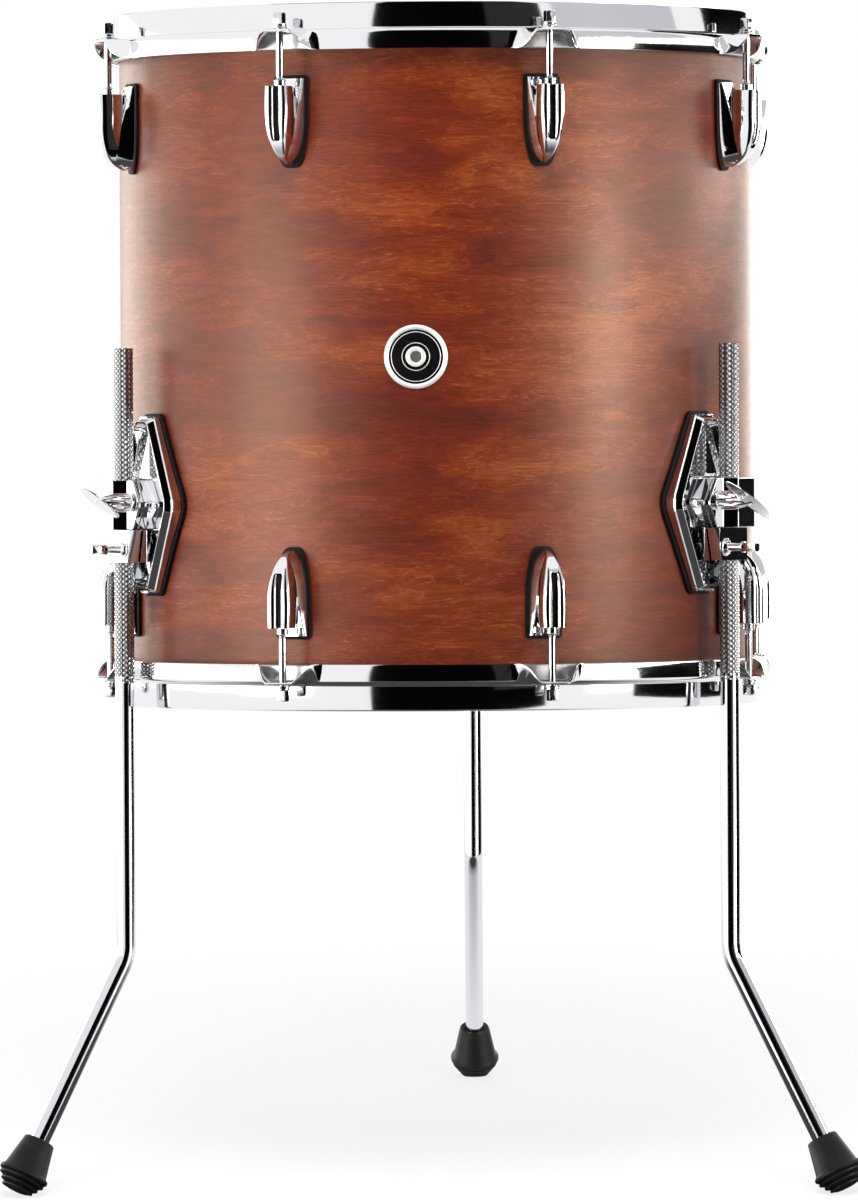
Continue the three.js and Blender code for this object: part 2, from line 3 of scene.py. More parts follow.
import json
from math import atan2, cos, hypot, pi, radians, sin, sqrt, tan

import bmesh
import bpy
from mathutils import Matrix, Vector


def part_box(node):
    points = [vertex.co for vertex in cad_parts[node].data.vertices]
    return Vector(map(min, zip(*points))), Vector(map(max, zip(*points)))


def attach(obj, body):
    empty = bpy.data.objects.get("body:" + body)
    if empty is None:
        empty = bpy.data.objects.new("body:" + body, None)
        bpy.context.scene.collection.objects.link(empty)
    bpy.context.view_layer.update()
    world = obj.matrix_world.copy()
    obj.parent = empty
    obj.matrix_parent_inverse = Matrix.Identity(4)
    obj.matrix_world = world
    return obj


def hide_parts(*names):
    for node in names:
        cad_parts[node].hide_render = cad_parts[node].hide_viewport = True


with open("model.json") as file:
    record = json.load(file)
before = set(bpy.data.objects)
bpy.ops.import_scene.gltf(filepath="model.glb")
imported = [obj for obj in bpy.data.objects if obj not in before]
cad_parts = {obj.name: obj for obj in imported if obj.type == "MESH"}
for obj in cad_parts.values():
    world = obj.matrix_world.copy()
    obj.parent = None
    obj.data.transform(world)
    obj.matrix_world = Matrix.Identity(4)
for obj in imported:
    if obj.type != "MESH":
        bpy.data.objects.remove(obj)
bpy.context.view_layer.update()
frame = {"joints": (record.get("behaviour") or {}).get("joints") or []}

MM = 0.001

# Driving sizes in millimetres, and two angles
CLEARANCE = 0.3
SHELL_RADIUS = 203.2
SHELL_TOP = 203.2
SHELL_WALL = 5.5
PLY_THICKNESS = 1.1
EDGE_ROUND = 1.4
EDGE_BEVEL = radians(30)
FILM = 0.4
FLESH_WIDTH = 5.7
FLESH_DEPTH = 10.4
FILM_SHOULDER = 0.9
HOOP_STEEL = 2.0
COLLAR_PLAY = 0.5
COLLAR_HEIGHT = 16.4
FLESH_PLAY = 1.3
SKIRT_DEPTH = 13.1
EARS = 8
EAR_HALF_WIDTH = 7.7
EAR_FLARE = 24.0
EAR_REACH = 13.85
EAR_HOLE = 3.2
ROD_REACH = 7.5
ROD_SHANK = 2.35
WASHER_RADIUS = 4.8
WASHER = 1.2
KEY_HEAD_WIDTH = 5.8
KEY_HEAD_HEIGHT = 8.6
ROD_ENGAGEMENT = 12.0
THREAD_PITCH = 1.06
LUG_HEIGHT = 54.0
LUG_DROP = 55.9
LUG_BASE_WIDTH = 20.5
LUG_BASE = 3.4
LUG_COLUMN_WIDTH = 16.0
LUG_COLUMN_DROP = 5.2
LUG_SCREWS = 24.0
BADGE_RADIUS = 20.0
BADGE_RIM = 3.2
BADGE_THICKNESS = 1.0
BADGE_RIM_THICKNESS = 1.6
BADGE_RINGS = (15.4, 8.6)
VENT_RADIUS = 3.7
VENT_WALL = 1.1
VENT_FLANGE_RADIUS = 6.35
VENT_FLANGE = 1.0
BRACKET_RISE = 111.1
BRACKET_SCREWS = 30.0
SCREW_HEAD = 4.4
GASKET = 2.5
GASKET_MARGIN = 1.8
PLATE_HALF_WIDTH = 34.5
PLATE_HALF_HEIGHT = 56.0
PLATE_END_HALF_WIDTH = 10.0
PLATE_TIP_HALF_HEIGHT = 4.0
PLATE_STEP = 6.5
PLATE_FRONT = 11.0
LEDGE = 1.2
BAND_INSET = 3.2
POCKET_INSET = 4.6
POCKET_FLOOR = 5.5
BRIDGE_RISE = 13.2
LEG_OFFSET = 10.0
LEG_STANDOFF = 18.0
CLAMP_FAR = 25.0
CLAMP_NEAR = -15.0
CLAMP_HALF_HEIGHT = 15.6
CLAMP_SEAM = 16.4
CLAMP_SLANT = 8.5
JAW_EAR = 3.9
JAW_FRONT = 29.5
JAW_SLOPE = 3.2
BOLT_OFFSET = -6.0
BOLT_RISE = 1.5
BOLT_RADIUS = 4.0
BOLT_END = 8.0
SLEEVE_RADIUS = 6.0
SLEEVE_LENGTH = 15.4
WING_HALF_WIDTH = 7.0
WING_HALF_THICKNESS = 3.0
WING_HUB_RADIUS = 5.4
FLUTES = 8
LOCK_HEIGHT = 20.5
LOCK_NEAR = -17.0
LOCK_FAR = 22.0
LOCK_BACK = 11.4
LOCK_FRONT = 26.4
LOCK_CORNER = 4.0
LOCK_SLIT = 1.6
LOCK_BOLT_RADIUS = 2.6
LOCK_BOLT_DROP = 1.85
LOCK_BOLT_END = 50.0
LOCK_BOSS_RADIUS = 4.6
LOCK_HEAD_WIDTH = 5.4
LOCK_HEAD_LENGTH = 8.6
LOCK_COLLAR_RADIUS = 3.6
KNURL_RADIUS = 6.35
KNURL_PITCH = 3.2
KNURL_DEPTH = 0.5
TUBE_RADIUS = 6.0
LEG_TOP = 99.4
KNURL_END = -112.9
BEND_DROP = -287.0
BEND_RADIUS = 30.0
SPLAY = radians(28.5)
SPLAY_LENGTH = 165.0
FOOT_LENGTH = 35.0
FOOT_TOP_RADIUS = 10.0
FOOT_FLANGE_RADIUS = 16.1
FOOT_FLANGE_DROP = 22.5
FOOT_FLANGE_EDGE = 2.5
FOOT_TOE_RADIUS = 9.2
FOOT_RIB_DEPTH = 0.8
FOOT_RIBS = 3
FOOT_BORE = 26.0

# How many flat faces stand for a full turn of the widest rounds
SHELL_SIDES = 256
HEAD_SIDES = 192

# The stage and the camera, in metres but for the lens: the viewpoint is worked out from the photograph
CARD_FOOT = 0.003
CARD_TOP = 2.2
FRONT_CARDS = 1.0
NEAR_CARDS = 1.5
SIDE_CARDS = 1.6
FAR_CARDS = 2.2
LIT_SPOT = (0, 0, 0.48)
CAMERA_SPOT = (0.3603, -5.8521, 0.532)
CAMERA_YAW = radians(3.583)
CAMERA_PITCH = radians(-6.691)
CAMERA_ROLL = radians(0.631)
SENSOR = 36
FOCAL_PIXELS = 9123.7
PICTURE_HEIGHT = 1200

# Sizes that follow
FILM_INNER = SHELL_RADIUS + CLEARANCE
FILM_OUTER = FILM_INNER + FILM
FLESH_OUTER = FILM_INNER + FLESH_WIDTH
COLLAR_RADIUS = FILM_OUTER + COLLAR_PLAY + HOOP_STEEL
SKIRT_RADIUS = FLESH_OUTER + FLESH_PLAY + HOOP_STEEL
ROD_CIRCLE = SKIRT_RADIUS + ROD_REACH
FLANGE_BOTTOM = CLEARANCE - FILM_SHOULDER
FLANGE_TOP = FLANGE_BOTTOM + HOOP_STEEL
LUG_CENTRE = SHELL_TOP - LUG_DROP
LUG_ROD_END = LUG_CENTRE + LUG_HEIGHT / 2 - LUG_COLUMN_DROP
ROD_STANDOFF = ROD_CIRCLE - SHELL_RADIUS
LEG_CLEAR_RADIUS = KNURL_RADIUS + CLEARANCE
LOCK_TOP = -CLAMP_HALF_HEIGHT - CLEARANCE
LOCK_BOLT_HEIGHT = LOCK_TOP - LOCK_HEIGHT / 2 - LOCK_BOLT_DROP
WING_HALF_SPAN = BOLT_RISE - LOCK_BOLT_HEIGHT - LOCK_HEAD_WIDTH / 2 - CLEARANCE
EAR_ANGLES = [(ear + 0.5) * 2 * pi / EARS for ear in range(EARS)]
BRACKET_DROP = SHELL_TOP - BRACKET_RISE

# The drum's own frame: its centre at the middle of the shell, its axis as the legs' slides have it
JOINTS = {joint["name"]: joint for joint in frame["joints"]}
SHELL_LOW, SHELL_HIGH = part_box("shell")
UP = Vector(JOINTS["leg_left_height"]["axis"])
LEAN = Matrix.Rotation(-atan2(UP.y, UP.z), 4, "X")
DRUM = Matrix.Translation((SHELL_LOW + SHELL_HIGH) / 2) @ LEAN
FLIPS = {"batter": Matrix.Identity(4), "resonant": Matrix.Rotation(pi, 4, "X")}
ALONG_Y = Matrix.Rotation(-pi / 2, 4, "X")
LEGS = {
    "left": {"angle": radians(-57.5), "hand": 1, "turn": 0.0, "tilt": radians(-20)},
    "right": {"angle": radians(57.5), "hand": -1, "turn": radians(10), "tilt": radians(-26)},
    "rear": {"angle": pi, "hand": 1, "turn": radians(3), "tilt": radians(-15)},
}


def station(angle):
    """Turns +Y to point outwards from the drum at an angle from the badge, positive towards +X."""
    return Matrix.Rotation(angle + pi, 4, "Z")


def ear_places(end):
    """The name's number and the place of each of an end's eight rods."""
    for number, angle in enumerate(EAR_ANGLES, 1):
        yield number, DRUM @ FLIPS[end] @ station(angle if end == "batter" else pi - angle)


def bracket_place(side):
    """Where a bracket sits: the shell's axis at the clamp's height, turned to face the bracket."""
    return DRUM @ station(LEGS[side]["angle"]) @ Matrix.Translation((0, 0, -BRACKET_DROP * MM))


def leg_place(side):
    """Where a leg turns: on its slide at the clamp's height, with its splay turned outwards."""
    spot = Vector(JOINTS[f"leg_{side}_turn"]["pos_m"])
    turned = LEGS[side]["angle"] + pi + LEGS[side]["turn"]
    return Matrix.Translation(spot) @ LEAN @ Matrix.Rotation(turned, 4, "Z")


# Nodes and colours


def linear(hex_colour):
    """An sRGB hex value as the linear colour that sockets take."""
    parts = [int(hex_colour[i:i + 2], 16) / 255 for i in (1, 3, 5)]
    return tuple(c / 12.92 if c <= 0.04045 else ((c + 0.055) / 1.055) ** 2.4 for c in parts) + (1.0,)


def add(tree, kind, inputs=(), stops=(), **settings):
    """Adds a node. Each input is a constant, an output socket, or a node that gives its first output in use.

    A colour ramp's stops are (position, hex) pairs.
    """
    made = tree.nodes.new(kind)
    for name, value in settings.items():
        setattr(made, name, value)
    for key, value in dict(inputs).items():
        if isinstance(value, bpy.types.Node):
            value = next(socket for socket in value.outputs if socket.enabled)
        if isinstance(value, bpy.types.NodeSocket):
            tree.links.new(value, made.inputs[key])
        else:
            made.inputs[key].default_value = value
    for number, (position, colour) in enumerate(stops):
        points = made.color_ramp.elements
        point = points[number] if number < len(points) else points.new(position)
        point.position = position
        point.color = linear(colour)
    return made


def material(name, recipe, *values, **options):
    """A new material whose surface is the shader that a recipe adds to its tree."""
    made = bpy.data.materials.new(name)
    made.use_nodes = True
    tree = made.node_tree
    tree.nodes.clear()
    add(tree, "ShaderNodeOutputMaterial", {"Surface": recipe(tree, *values, **options)})
    return made


# Meshes


def mesh_object(name, mesh, place=None):
    """An object round a mesh, with its place put into the mesh."""
    if place is not None:
        mesh.transform(place)
    made = bpy.data.objects.new(name, mesh)
    bpy.context.scene.collection.objects.link(made)
    return made


def mesh_piece(name, points, faces, place=None):
    """A mesh object from points in millimetres."""
    mesh = bpy.data.meshes.new(name)
    mesh.from_pydata([tuple(c * MM for c in p) for p in points], [], faces)
    mesh.validate()
    return mesh_object(name, mesh, place)


def removed(*objects):
    """Deletes objects together with their meshes."""
    for made in objects:
        mesh = made.data
        bpy.data.objects.remove(made)
        bpy.data.meshes.remove(mesh)


def joined(name, *parts, place=None):
    """One piece of several closed solids, which are used up."""
    work = bmesh.new()
    for part in parts:
        work.from_mesh(part.data)
    mesh = bpy.data.meshes.new(name)
    work.to_mesh(mesh)
    work.free()
    removed(*parts)
    return mesh_object(name, mesh, place)


def applied(piece):
    """Replaces a piece's mesh with what its modifiers make of it, and removes them."""
    graph = bpy.context.evaluated_depsgraph_get()
    mesh = bpy.data.meshes.new_from_object(piece.evaluated_get(graph))
    old = piece.data
    piece.modifiers.clear()
    piece.data = mesh
    bpy.data.meshes.remove(old)
    return piece


def modified(piece, kind, **settings):
    """Puts what one modifier makes of a piece into its mesh."""
    change = piece.modifiers.new(kind.lower(), kind)
    for name, value in settings.items():
        setattr(change, name, value)
    return applied(piece)


def combined(piece, *steps):
    """Cuts or intersects a solid with others, which are used up."""
    for operation, other in steps:
        modified(piece, "BOOLEAN", operation=operation, solver="EXACT", object=other)
        removed(other)
    return piece


def cleaned(piece, gap=0.01):
    """Merges the near-double points that a cut leaves."""
    work = bmesh.new()
    work.from_mesh(piece.data)
    bmesh.ops.remove_doubles(work, verts=work.verts, dist=gap * MM)
    bmesh.ops.dissolve_degenerate(work, edges=work.edges, dist=gap * MM)
    bmesh.ops.recalc_face_normals(work, faces=work.faces)
    work.to_mesh(piece.data)
    work.free()
    return piece


def bevelled(piece, width, angle):
    """Rounds the edges of a solid that are sharper than the angle."""
    return modified(piece, "BEVEL", width=width * MM, segments=2, limit_method="ANGLE",
                    angle_limit=radians(angle))


def smoothed(piece, angle):
    """Smooth shading that keeps edges sharper than the angle."""
    piece.data.shade_smooth()
    piece.data.set_sharp_from_angle(angle=radians(angle))
    return piece


def flat_faced(piece, angle=35):
    """Smooth shading that keeps broad faces flat in reflections: only the rounded edges turn the light."""
    return modified(smoothed(piece, angle), "WEIGHTED_NORMAL", mode="FACE_AREA", keep_sharp=True)


def arc(centre, radius, start, end, steps):
    """Points along an arc, angles in degrees."""
    turns = [radians(start + (end - start) * i / steps) for i in range(steps + 1)]
    return [(centre[0] + radius * cos(a), centre[1] + radius * sin(a)) for a in turns]


def full_turn(sides):
    """The angles of a ring's points."""
    return [2 * pi * step / sides for step in range(sides)]


def lathe(name, profile, sides, place=None, closed=False):
    """Turns a profile of (radius, height) about Z. A closed one makes a ring, another ends on the axis."""
    points, rings = [], []
    for radius, height in profile:
        if radius < 1e-6:
            rings.append([len(points)] * sides)
            points.append((0, 0, height))
        else:
            rings.append(list(range(len(points), len(points) + sides)))
            points += [(radius * cos(turn), radius * sin(turn), height) for turn in full_turn(sides)]
    faces = []
    for lower, upper in list(zip(rings, rings[1:])) + ([(rings[-1], rings[0])] if closed else []):
        for step in range(sides):
            after = (step + 1) % sides
            corners = [lower[step], lower[after], upper[after], upper[step]]
            face = [c for i, c in enumerate(corners) if c not in corners[:i]]
            if len(face) > 2:
                faces.append(face)
    return cleaned(mesh_piece(name, points, faces, place), 0.001)


def loft(name, sections):
    """A closed solid through outlines that have the same number of points."""
    count = len(sections[0])
    points = [p for section in sections for p in section]
    last = len(points) - count
    faces = [list(range(count)), list(range(last, last + count))]
    for low in range(0, last, count):
        for i in range(count):
            j = (i + 1) % count
            faces.append((low + i, low + j, low + count + j, low + count + i))
    return cleaned(mesh_piece(name, points, faces), 0.0001)


def prism(name, outline, low, high):
    """An outline in (x, y) carried along Z."""
    return loft(name, [[(x, y, height) for x, y in outline] for height in (low, high)])


def outwards(name, *levels):
    """A solid through (reach, outline) pairs: outlines in (x, z), carried along Y."""
    return loft(name, [[(x, reach, z) for x, z in outline] for reach, outline in levels])


def rounded(outline, *radii, steps=4):
    """An outline whose corners are curves that start a radius away from them: one for all, or one each."""
    made = []
    if len(radii) == 1:
        radii = radii * len(outline)
    befores, afters = outline[-1:] + outline[:-1], outline[1:] + outline[:1]
    for before, corner, after, radius in zip(befores, outline, afters, radii):
        corner = Vector(corner)
        start, end = [corner + (Vector(p) - corner).normalized() * radius for p in (before, after)]
        for i in range(steps + 1):
            s = i / steps
            made.append(tuple((1 - s) ** 2 * start + 2 * s * (1 - s) * corner + s * s * end))
    return made


def hull(name, points):
    """The smallest convex solid round some points."""
    work = bmesh.new()
    for point in points:
        work.verts.new([c * MM for c in point])
    bmesh.ops.convex_hull(work, input=work.verts[:])
    bmesh.ops.dissolve_limit(work, angle_limit=0.01, verts=work.verts[:], edges=work.edges[:])
    bmesh.ops.recalc_face_normals(work, faces=work.faces[:])
    made = mesh_piece(name, [], [])
    work.to_mesh(made.data)
    work.free()
    return made


def drill(radius, low, high, place=None, sides=48):
    """A plain round cutter along the place's Z."""
    return lathe("cutter", [(0, low), (radius, low), (radius, high), (0, high)], sides, place)


def square_head(width, low, high, crown, fall, top):
    """A square key head along Z whose corners are turned down to the top's radius over a fall."""
    half = width / 2
    head = prism("head", [(-half, -half), (half, -half), (half, half), (-half, half)], low, high)
    turned = [(0, low - 1), (crown, low - 1), (crown, high - fall), (top, high), (0, high)]
    combined(head, ("INTERSECT", lathe("crown", turned, 48)))
    return smoothed(bevelled(cleaned(head), 0.35, 35), 35)


def shifted(x=0.0, y=0.0, z=0.0):
    """A move in millimetres."""
    return Matrix.Translation((x * MM, y * MM, z * MM))


def dressed(piece, finish, body, slot, *nodes):
    """Gives a piece its finish, the body it rides on and the nodes it stands for; its slot is not used."""
    if finish is not None:
        piece.data.materials.clear()
        piece.data.materials.append(finish)
    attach(piece, body)
    if nodes:
        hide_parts(*nodes)


# Finishes


def polished_chrome(tree, tint="#eff0f2", roughness=0.06, wave=0.0, metallic=1.0):
    """Bright nickel-chrome plate: a mirror that breaks what it shows into hard light and dark bands."""
    spot = add(tree, "ShaderNodeTexCoord").outputs["Object"]
    smear = add(tree, "ShaderNodeTexNoise", {"Vector": spot, "Scale": 1 / (18 * MM), "Detail": 3.0})
    inputs = {"Value": smear, "To Min": roughness * 0.7, "To Max": roughness * 1.5}
    gloss = add(tree, "ShaderNodeMapRange", inputs)
    surface = {"Base Color": linear(tint), "Metallic": metallic, "Roughness": gloss}
    if wave:
        skin = add(tree, "ShaderNodeTexNoise", {"Vector": spot, "Scale": 1 / (7 * MM), "Detail": 2.0})
        inputs = {"Height": skin, "Strength": 1.0, "Distance": wave * MM}
        surface["Normal"] = add(tree, "ShaderNodeBump", inputs)
    return add(tree, "ShaderNodeBsdfPrincipled", surface)


def knurled_chrome_with_painted_groove_shade(tree):
    """Chrome over a cut knurl: bright on the points, dull down in the grooves between them, and painted
    darker there as the shade that falls in them.
    """
    groove = add(tree, "ShaderNodeAttribute", attribute_name="groove").outputs["Fac"]
    # Painted shade: the colour falls from bright chrome on the points to near black deep in the grooves
    stops = ((0.4, "#f6f7f9"), (0.72, "#bfc1c4"), (0.97, "#1f1f21"))
    tone = add(tree, "ShaderNodeValToRGB", {"Fac": groove}, stops)
    gloss = add(tree, "ShaderNodeMapRange", {"Value": groove, "To Min": 0.12, "To Max": 0.35})
    return add(tree, "ShaderNodeBsdfPrincipled", {"Base Color": tone, "Metallic": 1.0, "Roughness": gloss})


def moulded_rubber(tree, colour, worn, roughness):
    """Black rubber that hardly shines: a dull skin with a faint grain, greyer where it is handled."""
    spot = add(tree, "ShaderNodeTexCoord").outputs["Object"]
    grain = add(tree, "ShaderNodeTexNoise", {"Vector": spot, "Scale": 1 / (0.8 * MM), "Detail": 4.0})
    dust = add(tree, "ShaderNodeTexNoise", {"Vector": spot, "Scale": 1 / (14 * MM), "Detail": 5.0})
    tone = add(tree, "ShaderNodeValToRGB", {"Fac": dust}, ((0.35, colour), (0.75, worn)))
    inputs = {"Value": dust, "To Min": roughness - 0.1, "To Max": roughness + 0.1}
    gloss = add(tree, "ShaderNodeMapRange", inputs)
    relief = add(tree, "ShaderNodeBump", {"Height": grain, "Strength": 0.35, "Distance": 0.1 * MM})
    return add(tree, "ShaderNodeBsdfPrincipled", {
        "Base Color": tone,
        "Roughness": gloss,
        "Specular IOR Level": 0.2,
        "Normal": relief,
    })


def black_enamel(tree):
    """Stoved black enamel: deep and glossy, with a faint orange-peel skin."""
    spot = add(tree, "ShaderNodeTexCoord").outputs["Object"]
    peel = add(tree, "ShaderNodeTexNoise", {"Vector": spot, "Scale": 1 / (1.5 * MM), "Detail": 2.0})
    tone = add(tree, "ShaderNodeValToRGB", {"Fac": peel}, ((0.3, "#0b0b0c"), (0.7, "#131314")))
    relief = add(tree, "ShaderNodeBump", {"Height": peel, "Strength": 0.12, "Distance": 0.05 * MM})
    return add(tree, "ShaderNodeBsdfPrincipled", {
        "Base Color": tone,
        "Roughness": 0.22,
        "IOR": 1.52,
        "Normal": relief,
    })


def coated_film(tree):
    """Polyester film with a sprayed white coat: matt, faintly gritty, and some light comes through."""
    spot = add(tree, "ShaderNodeTexCoord").outputs["Object"]
    grit = add(tree, "ShaderNodeTexNoise", {"Vector": spot, "Scale": 1 / (1.2 * MM), "Detail": 4.0})
    spray = add(tree, "ShaderNodeTexNoise", {"Vector": spot, "Scale": 1 / (30 * MM), "Detail": 3.0})
    tone = add(tree, "ShaderNodeValToRGB", {"Fac": spray}, ((0.3, "#e2e1dc"), (0.7, "#ecebe7")))
    relief = add(tree, "ShaderNodeBump", {"Height": grit, "Strength": 0.4, "Distance": 0.08 * MM})
    coat = add(tree, "ShaderNodeBsdfPrincipled", {
        "Base Color": tone,
        "Roughness": 0.62,
        "IOR": 1.57,
        "Normal": relief,
    })
    glow = add(tree, "ShaderNodeBsdfTranslucent", {"Color": linear("#f3f2ee")})
    return add(tree, "ShaderNodeMixShader", {0: 0.3, 1: coat, 2: glow})


def clear_film(tree):
    """Clear polyester film: nearly all light passes, the rest shows as a thin cool gloss."""
    spot = add(tree, "ShaderNodeTexCoord").outputs["Object"]
    haze = add(tree, "ShaderNodeTexNoise", {"Vector": spot, "Scale": 1 / (45 * MM), "Detail": 3.0})
    cover = add(tree, "ShaderNodeMapRange", {"Value": haze, "To Min": 0.16, "To Max": 0.24})
    return add(tree, "ShaderNodeBsdfPrincipled", {
        "Base Color": linear("#dfe5e8"),
        "Roughness": 0.12,
        "IOR": 1.57,
        "Alpha": cover,
    })


def figured_wood(tree, *figures):
    """Noises drawn out round the drum, by name. A figure that drifts isn't ruled straight along the grain.

    Each is a name, its length along the grain and its width in millimetres, its origin, drift and detail.
    """
    wrap = add(tree, "ShaderNodeUVMap", uv_map="wrap")
    made = {}
    for name, length, width, origin, drift, detail in figures:
        scale = (1 / (length * MM), 1 / (width * MM), 1)
        spot = add(tree, "ShaderNodeMapping", {"Vector": wrap, "Scale": scale, "Location": origin + (0,)})
        if drift:
            inputs = {0: made["sway"].outputs["Color"], 1: (drift, drift, drift), 2: spot}
            spot = add(tree, "ShaderNodeVectorMath", inputs, operation="MULTIPLY_ADD")
        made[name] = add(tree, "ShaderNodeTexNoise", {"Vector": spot, "Scale": 1.0, "Detail": detail})
    return made


def sealer_paint(tree):
    """Silver-grey sealer sprayed on the inner ply: flat, a little mottled, with the grain just showing."""
    figures = figured_wood(tree, ("grain", 30, 1.5, (0, 0), 0, 4.0), ("mottle", 12, 12, (0, 0), 0, 5.0))
    tone = add(tree, "ShaderNodeValToRGB", {"Fac": figures["mottle"]}, ((0.3, "#b3b3ae"), (0.7, "#c8c8c4")))
    inputs = {"Height": figures["grain"], "Strength": 0.3, "Distance": 0.08 * MM}
    relief = add(tree, "ShaderNodeBump", inputs)
    return add(tree, "ShaderNodeBsdfPrincipled", {"Base Color": tone, "Roughness": 0.6, "Normal": relief})


def sanded_ply(tree):
    """Bare sanded birch ply: the inner veneer's pale grain, and the glued layers where an edge is cut."""
    grain = figured_wood(tree, ("grain", 40, 1.6, (0, 0), 0, 5.0))["grain"]
    face = add(tree, "ShaderNodeValToRGB", {"Fac": grain}, ((0.3, "#a5794c"), (0.7, "#cfa877")))
    share = add(tree, "ShaderNodeAttribute", attribute_name="wall_depth").outputs["Fac"]
    for operation in ("PINGPONG", "DIVIDE"):
        share = add(tree, "ShaderNodeMath", {0: share, 1: PLY_THICKNESS * MM}, operation=operation)
    stops = ((0.1, "#7d5530"), (0.3, "#b98e5f"), (0.8, "#d8b585"))
    plies = add(tree, "ShaderNodeValToRGB", {"Fac": share}, stops)
    colour = add(tree, "ShaderNodeMix", {"Factor": 0.5, 6: face, 7: plies}, data_type="RGBA")
    relief = add(tree, "ShaderNodeBump", {"Height": grain, "Strength": 0.3, "Distance": 0.1 * MM})
    return add(tree, "ShaderNodeBsdfPrincipled", {"Base Color": colour, "Roughness": 0.7, "Normal": relief})


def stained_veneer(tree):
    """Red-brown stained maple under satin lacquer: cloudy, finely fibred round the drum, orange flecks."""
    figures = figured_wood(
        tree,
        ("sway", 55, 20, (0, 0), 0, 2.0),
        ("cloud", 105, 34, (0, 0), 1.2, 4.0),
        ("ripple", 34, 3.0, (3, 1), 4.0, 4.0),
        ("fibre", 8, 0.7, (7, 5), 12.0, 2.0),
        ("fleck", 13, 0.9, (0, 0), 12.0, 2.0),
        ("curl", 26, 4.6, (11, 2), 3.0, 3.0),
    )
    # Broad clouds from wine red to orange, darkened by the ripple and the short fibres across them
    stops = ((0.33, "#611d12"), (0.45, "#72240f"), (0.56, "#802d0f"), (0.71, "#94431a"))
    colour = add(tree, "ShaderNodeValToRGB", {"Fac": figures["cloud"]}, stops)
    for name, share, start, shade in (("ripple", 0.5, 0.32, "#c4aca2"), ("fibre", 0.7, 0.3, "#ab948b")):
        dark = add(tree, "ShaderNodeValToRGB", {"Fac": figures[name]}, ((start, shade), (0.62, "#ffffff")))
        inputs = {"Factor": share, 6: colour, 7: dark}
        colour = add(tree, "ShaderNodeMix", inputs, data_type="RGBA", blend_type="MULTIPLY")
    # Sparse flecks, more of them in the orange clouds
    inputs = {"Value": figures["cloud"], "From Min": 0.42, "From Max": 0.6, "To Min": 0.06, "To Max": 0.5}
    patch = add(tree, "ShaderNodeMapRange", inputs)
    inputs = {"Value": figures["fleck"], "From Min": 0.6, "From Max": 0.74, "To Max": patch}
    fleck = add(tree, "ShaderNodeMapRange", inputs)
    # Thin pale lines that curl where the figure turns: the contours of a wavering noise
    line = add(tree, "ShaderNodeMath", {0: figures["curl"], 1: 0.5, 2: 0.007}, operation="COMPARE")
    for share in (patch, 0.65):
        line = add(tree, "ShaderNodeMath", {0: line, 1: share}, operation="MULTIPLY")
    marks = add(tree, "ShaderNodeMath", {0: fleck, 1: line}, operation="MAXIMUM")
    colour = add(tree, "ShaderNodeMix", {"Factor": marks, 6: colour, 7: linear("#b56a40")}, data_type="RGBA")
    gloss = add(tree, "ShaderNodeMapRange", {"Value": figures["ripple"], "To Min": 0.46, "To Max": 0.38})
    inputs = {"Height": figures["fibre"], "Strength": 0.25, "Distance": 0.05 * MM}
    relief = add(tree, "ShaderNodeBump", inputs)
    return add(tree, "ShaderNodeBsdfPrincipled", {
        "Base Color": colour,
        "Roughness": gloss,
        "Normal": relief,
        "Specular Tint": linear("#fff0d6"),
        "Coat Weight": 0.1,
        "Coat Roughness": 0.25,
        "Coat IOR": 1.5,
    })


CHROME = material("chrome_on_pressed_steel", polished_chrome, wave=0.01)
CAST_CHROME = material("chrome_on_zinc_casting", polished_chrome, roughness=0.05, wave=0.008)
ROD_CHROME = material("chrome_on_turned_steel", polished_chrome, "#d9dbdf", 0.1)
LEG_CHROME = material("chrome_on_steel_tube", polished_chrome, "#e0e2e6", 0.07)
ALUMINIUM = material("rolled_aluminium", polished_chrome, "#c9cacc", 0.35)
ZINC = material("zinc_plated_steel", polished_chrome, "#c4c6c4", 0.28)
# Painted shade: near-black zinc for the lug slot's floor, dark as the shade in the hollow behind the slot
SLOT_SHADE_ZINC = material("zinc_with_painted_slot_shade", polished_chrome, "#19191a", 0.5)
SATIN_NICKEL = material("lacquered_satin_nickel", polished_chrome, "#f6f5f2", 0.4, metallic=0.4)
KNURLED_CHROME = material("knurled_chrome_with_painted_groove_shade", knurled_chrome_with_painted_groove_shade)
RUBBER = material("moulded_rubber", moulded_rubber, "#0e0e0f", "#19191a", 0.5)
GASKET_RUBBER = material("gasket_sheet_rubber", moulded_rubber, "#0a0a0b", "#121213", 0.65)
VENEER = material("stained_maple_veneer", stained_veneer)
PLY = material("sanded_birch_ply", sanded_ply)
SEALER = material("silver_grey_sealer", sealer_paint)
COATED = material("coated_polyester_film", coated_film)
CLEAR = material("clear_polyester_film", clear_film)
ENAMEL = material("stoved_black_enamel", black_enamel)


# The shell


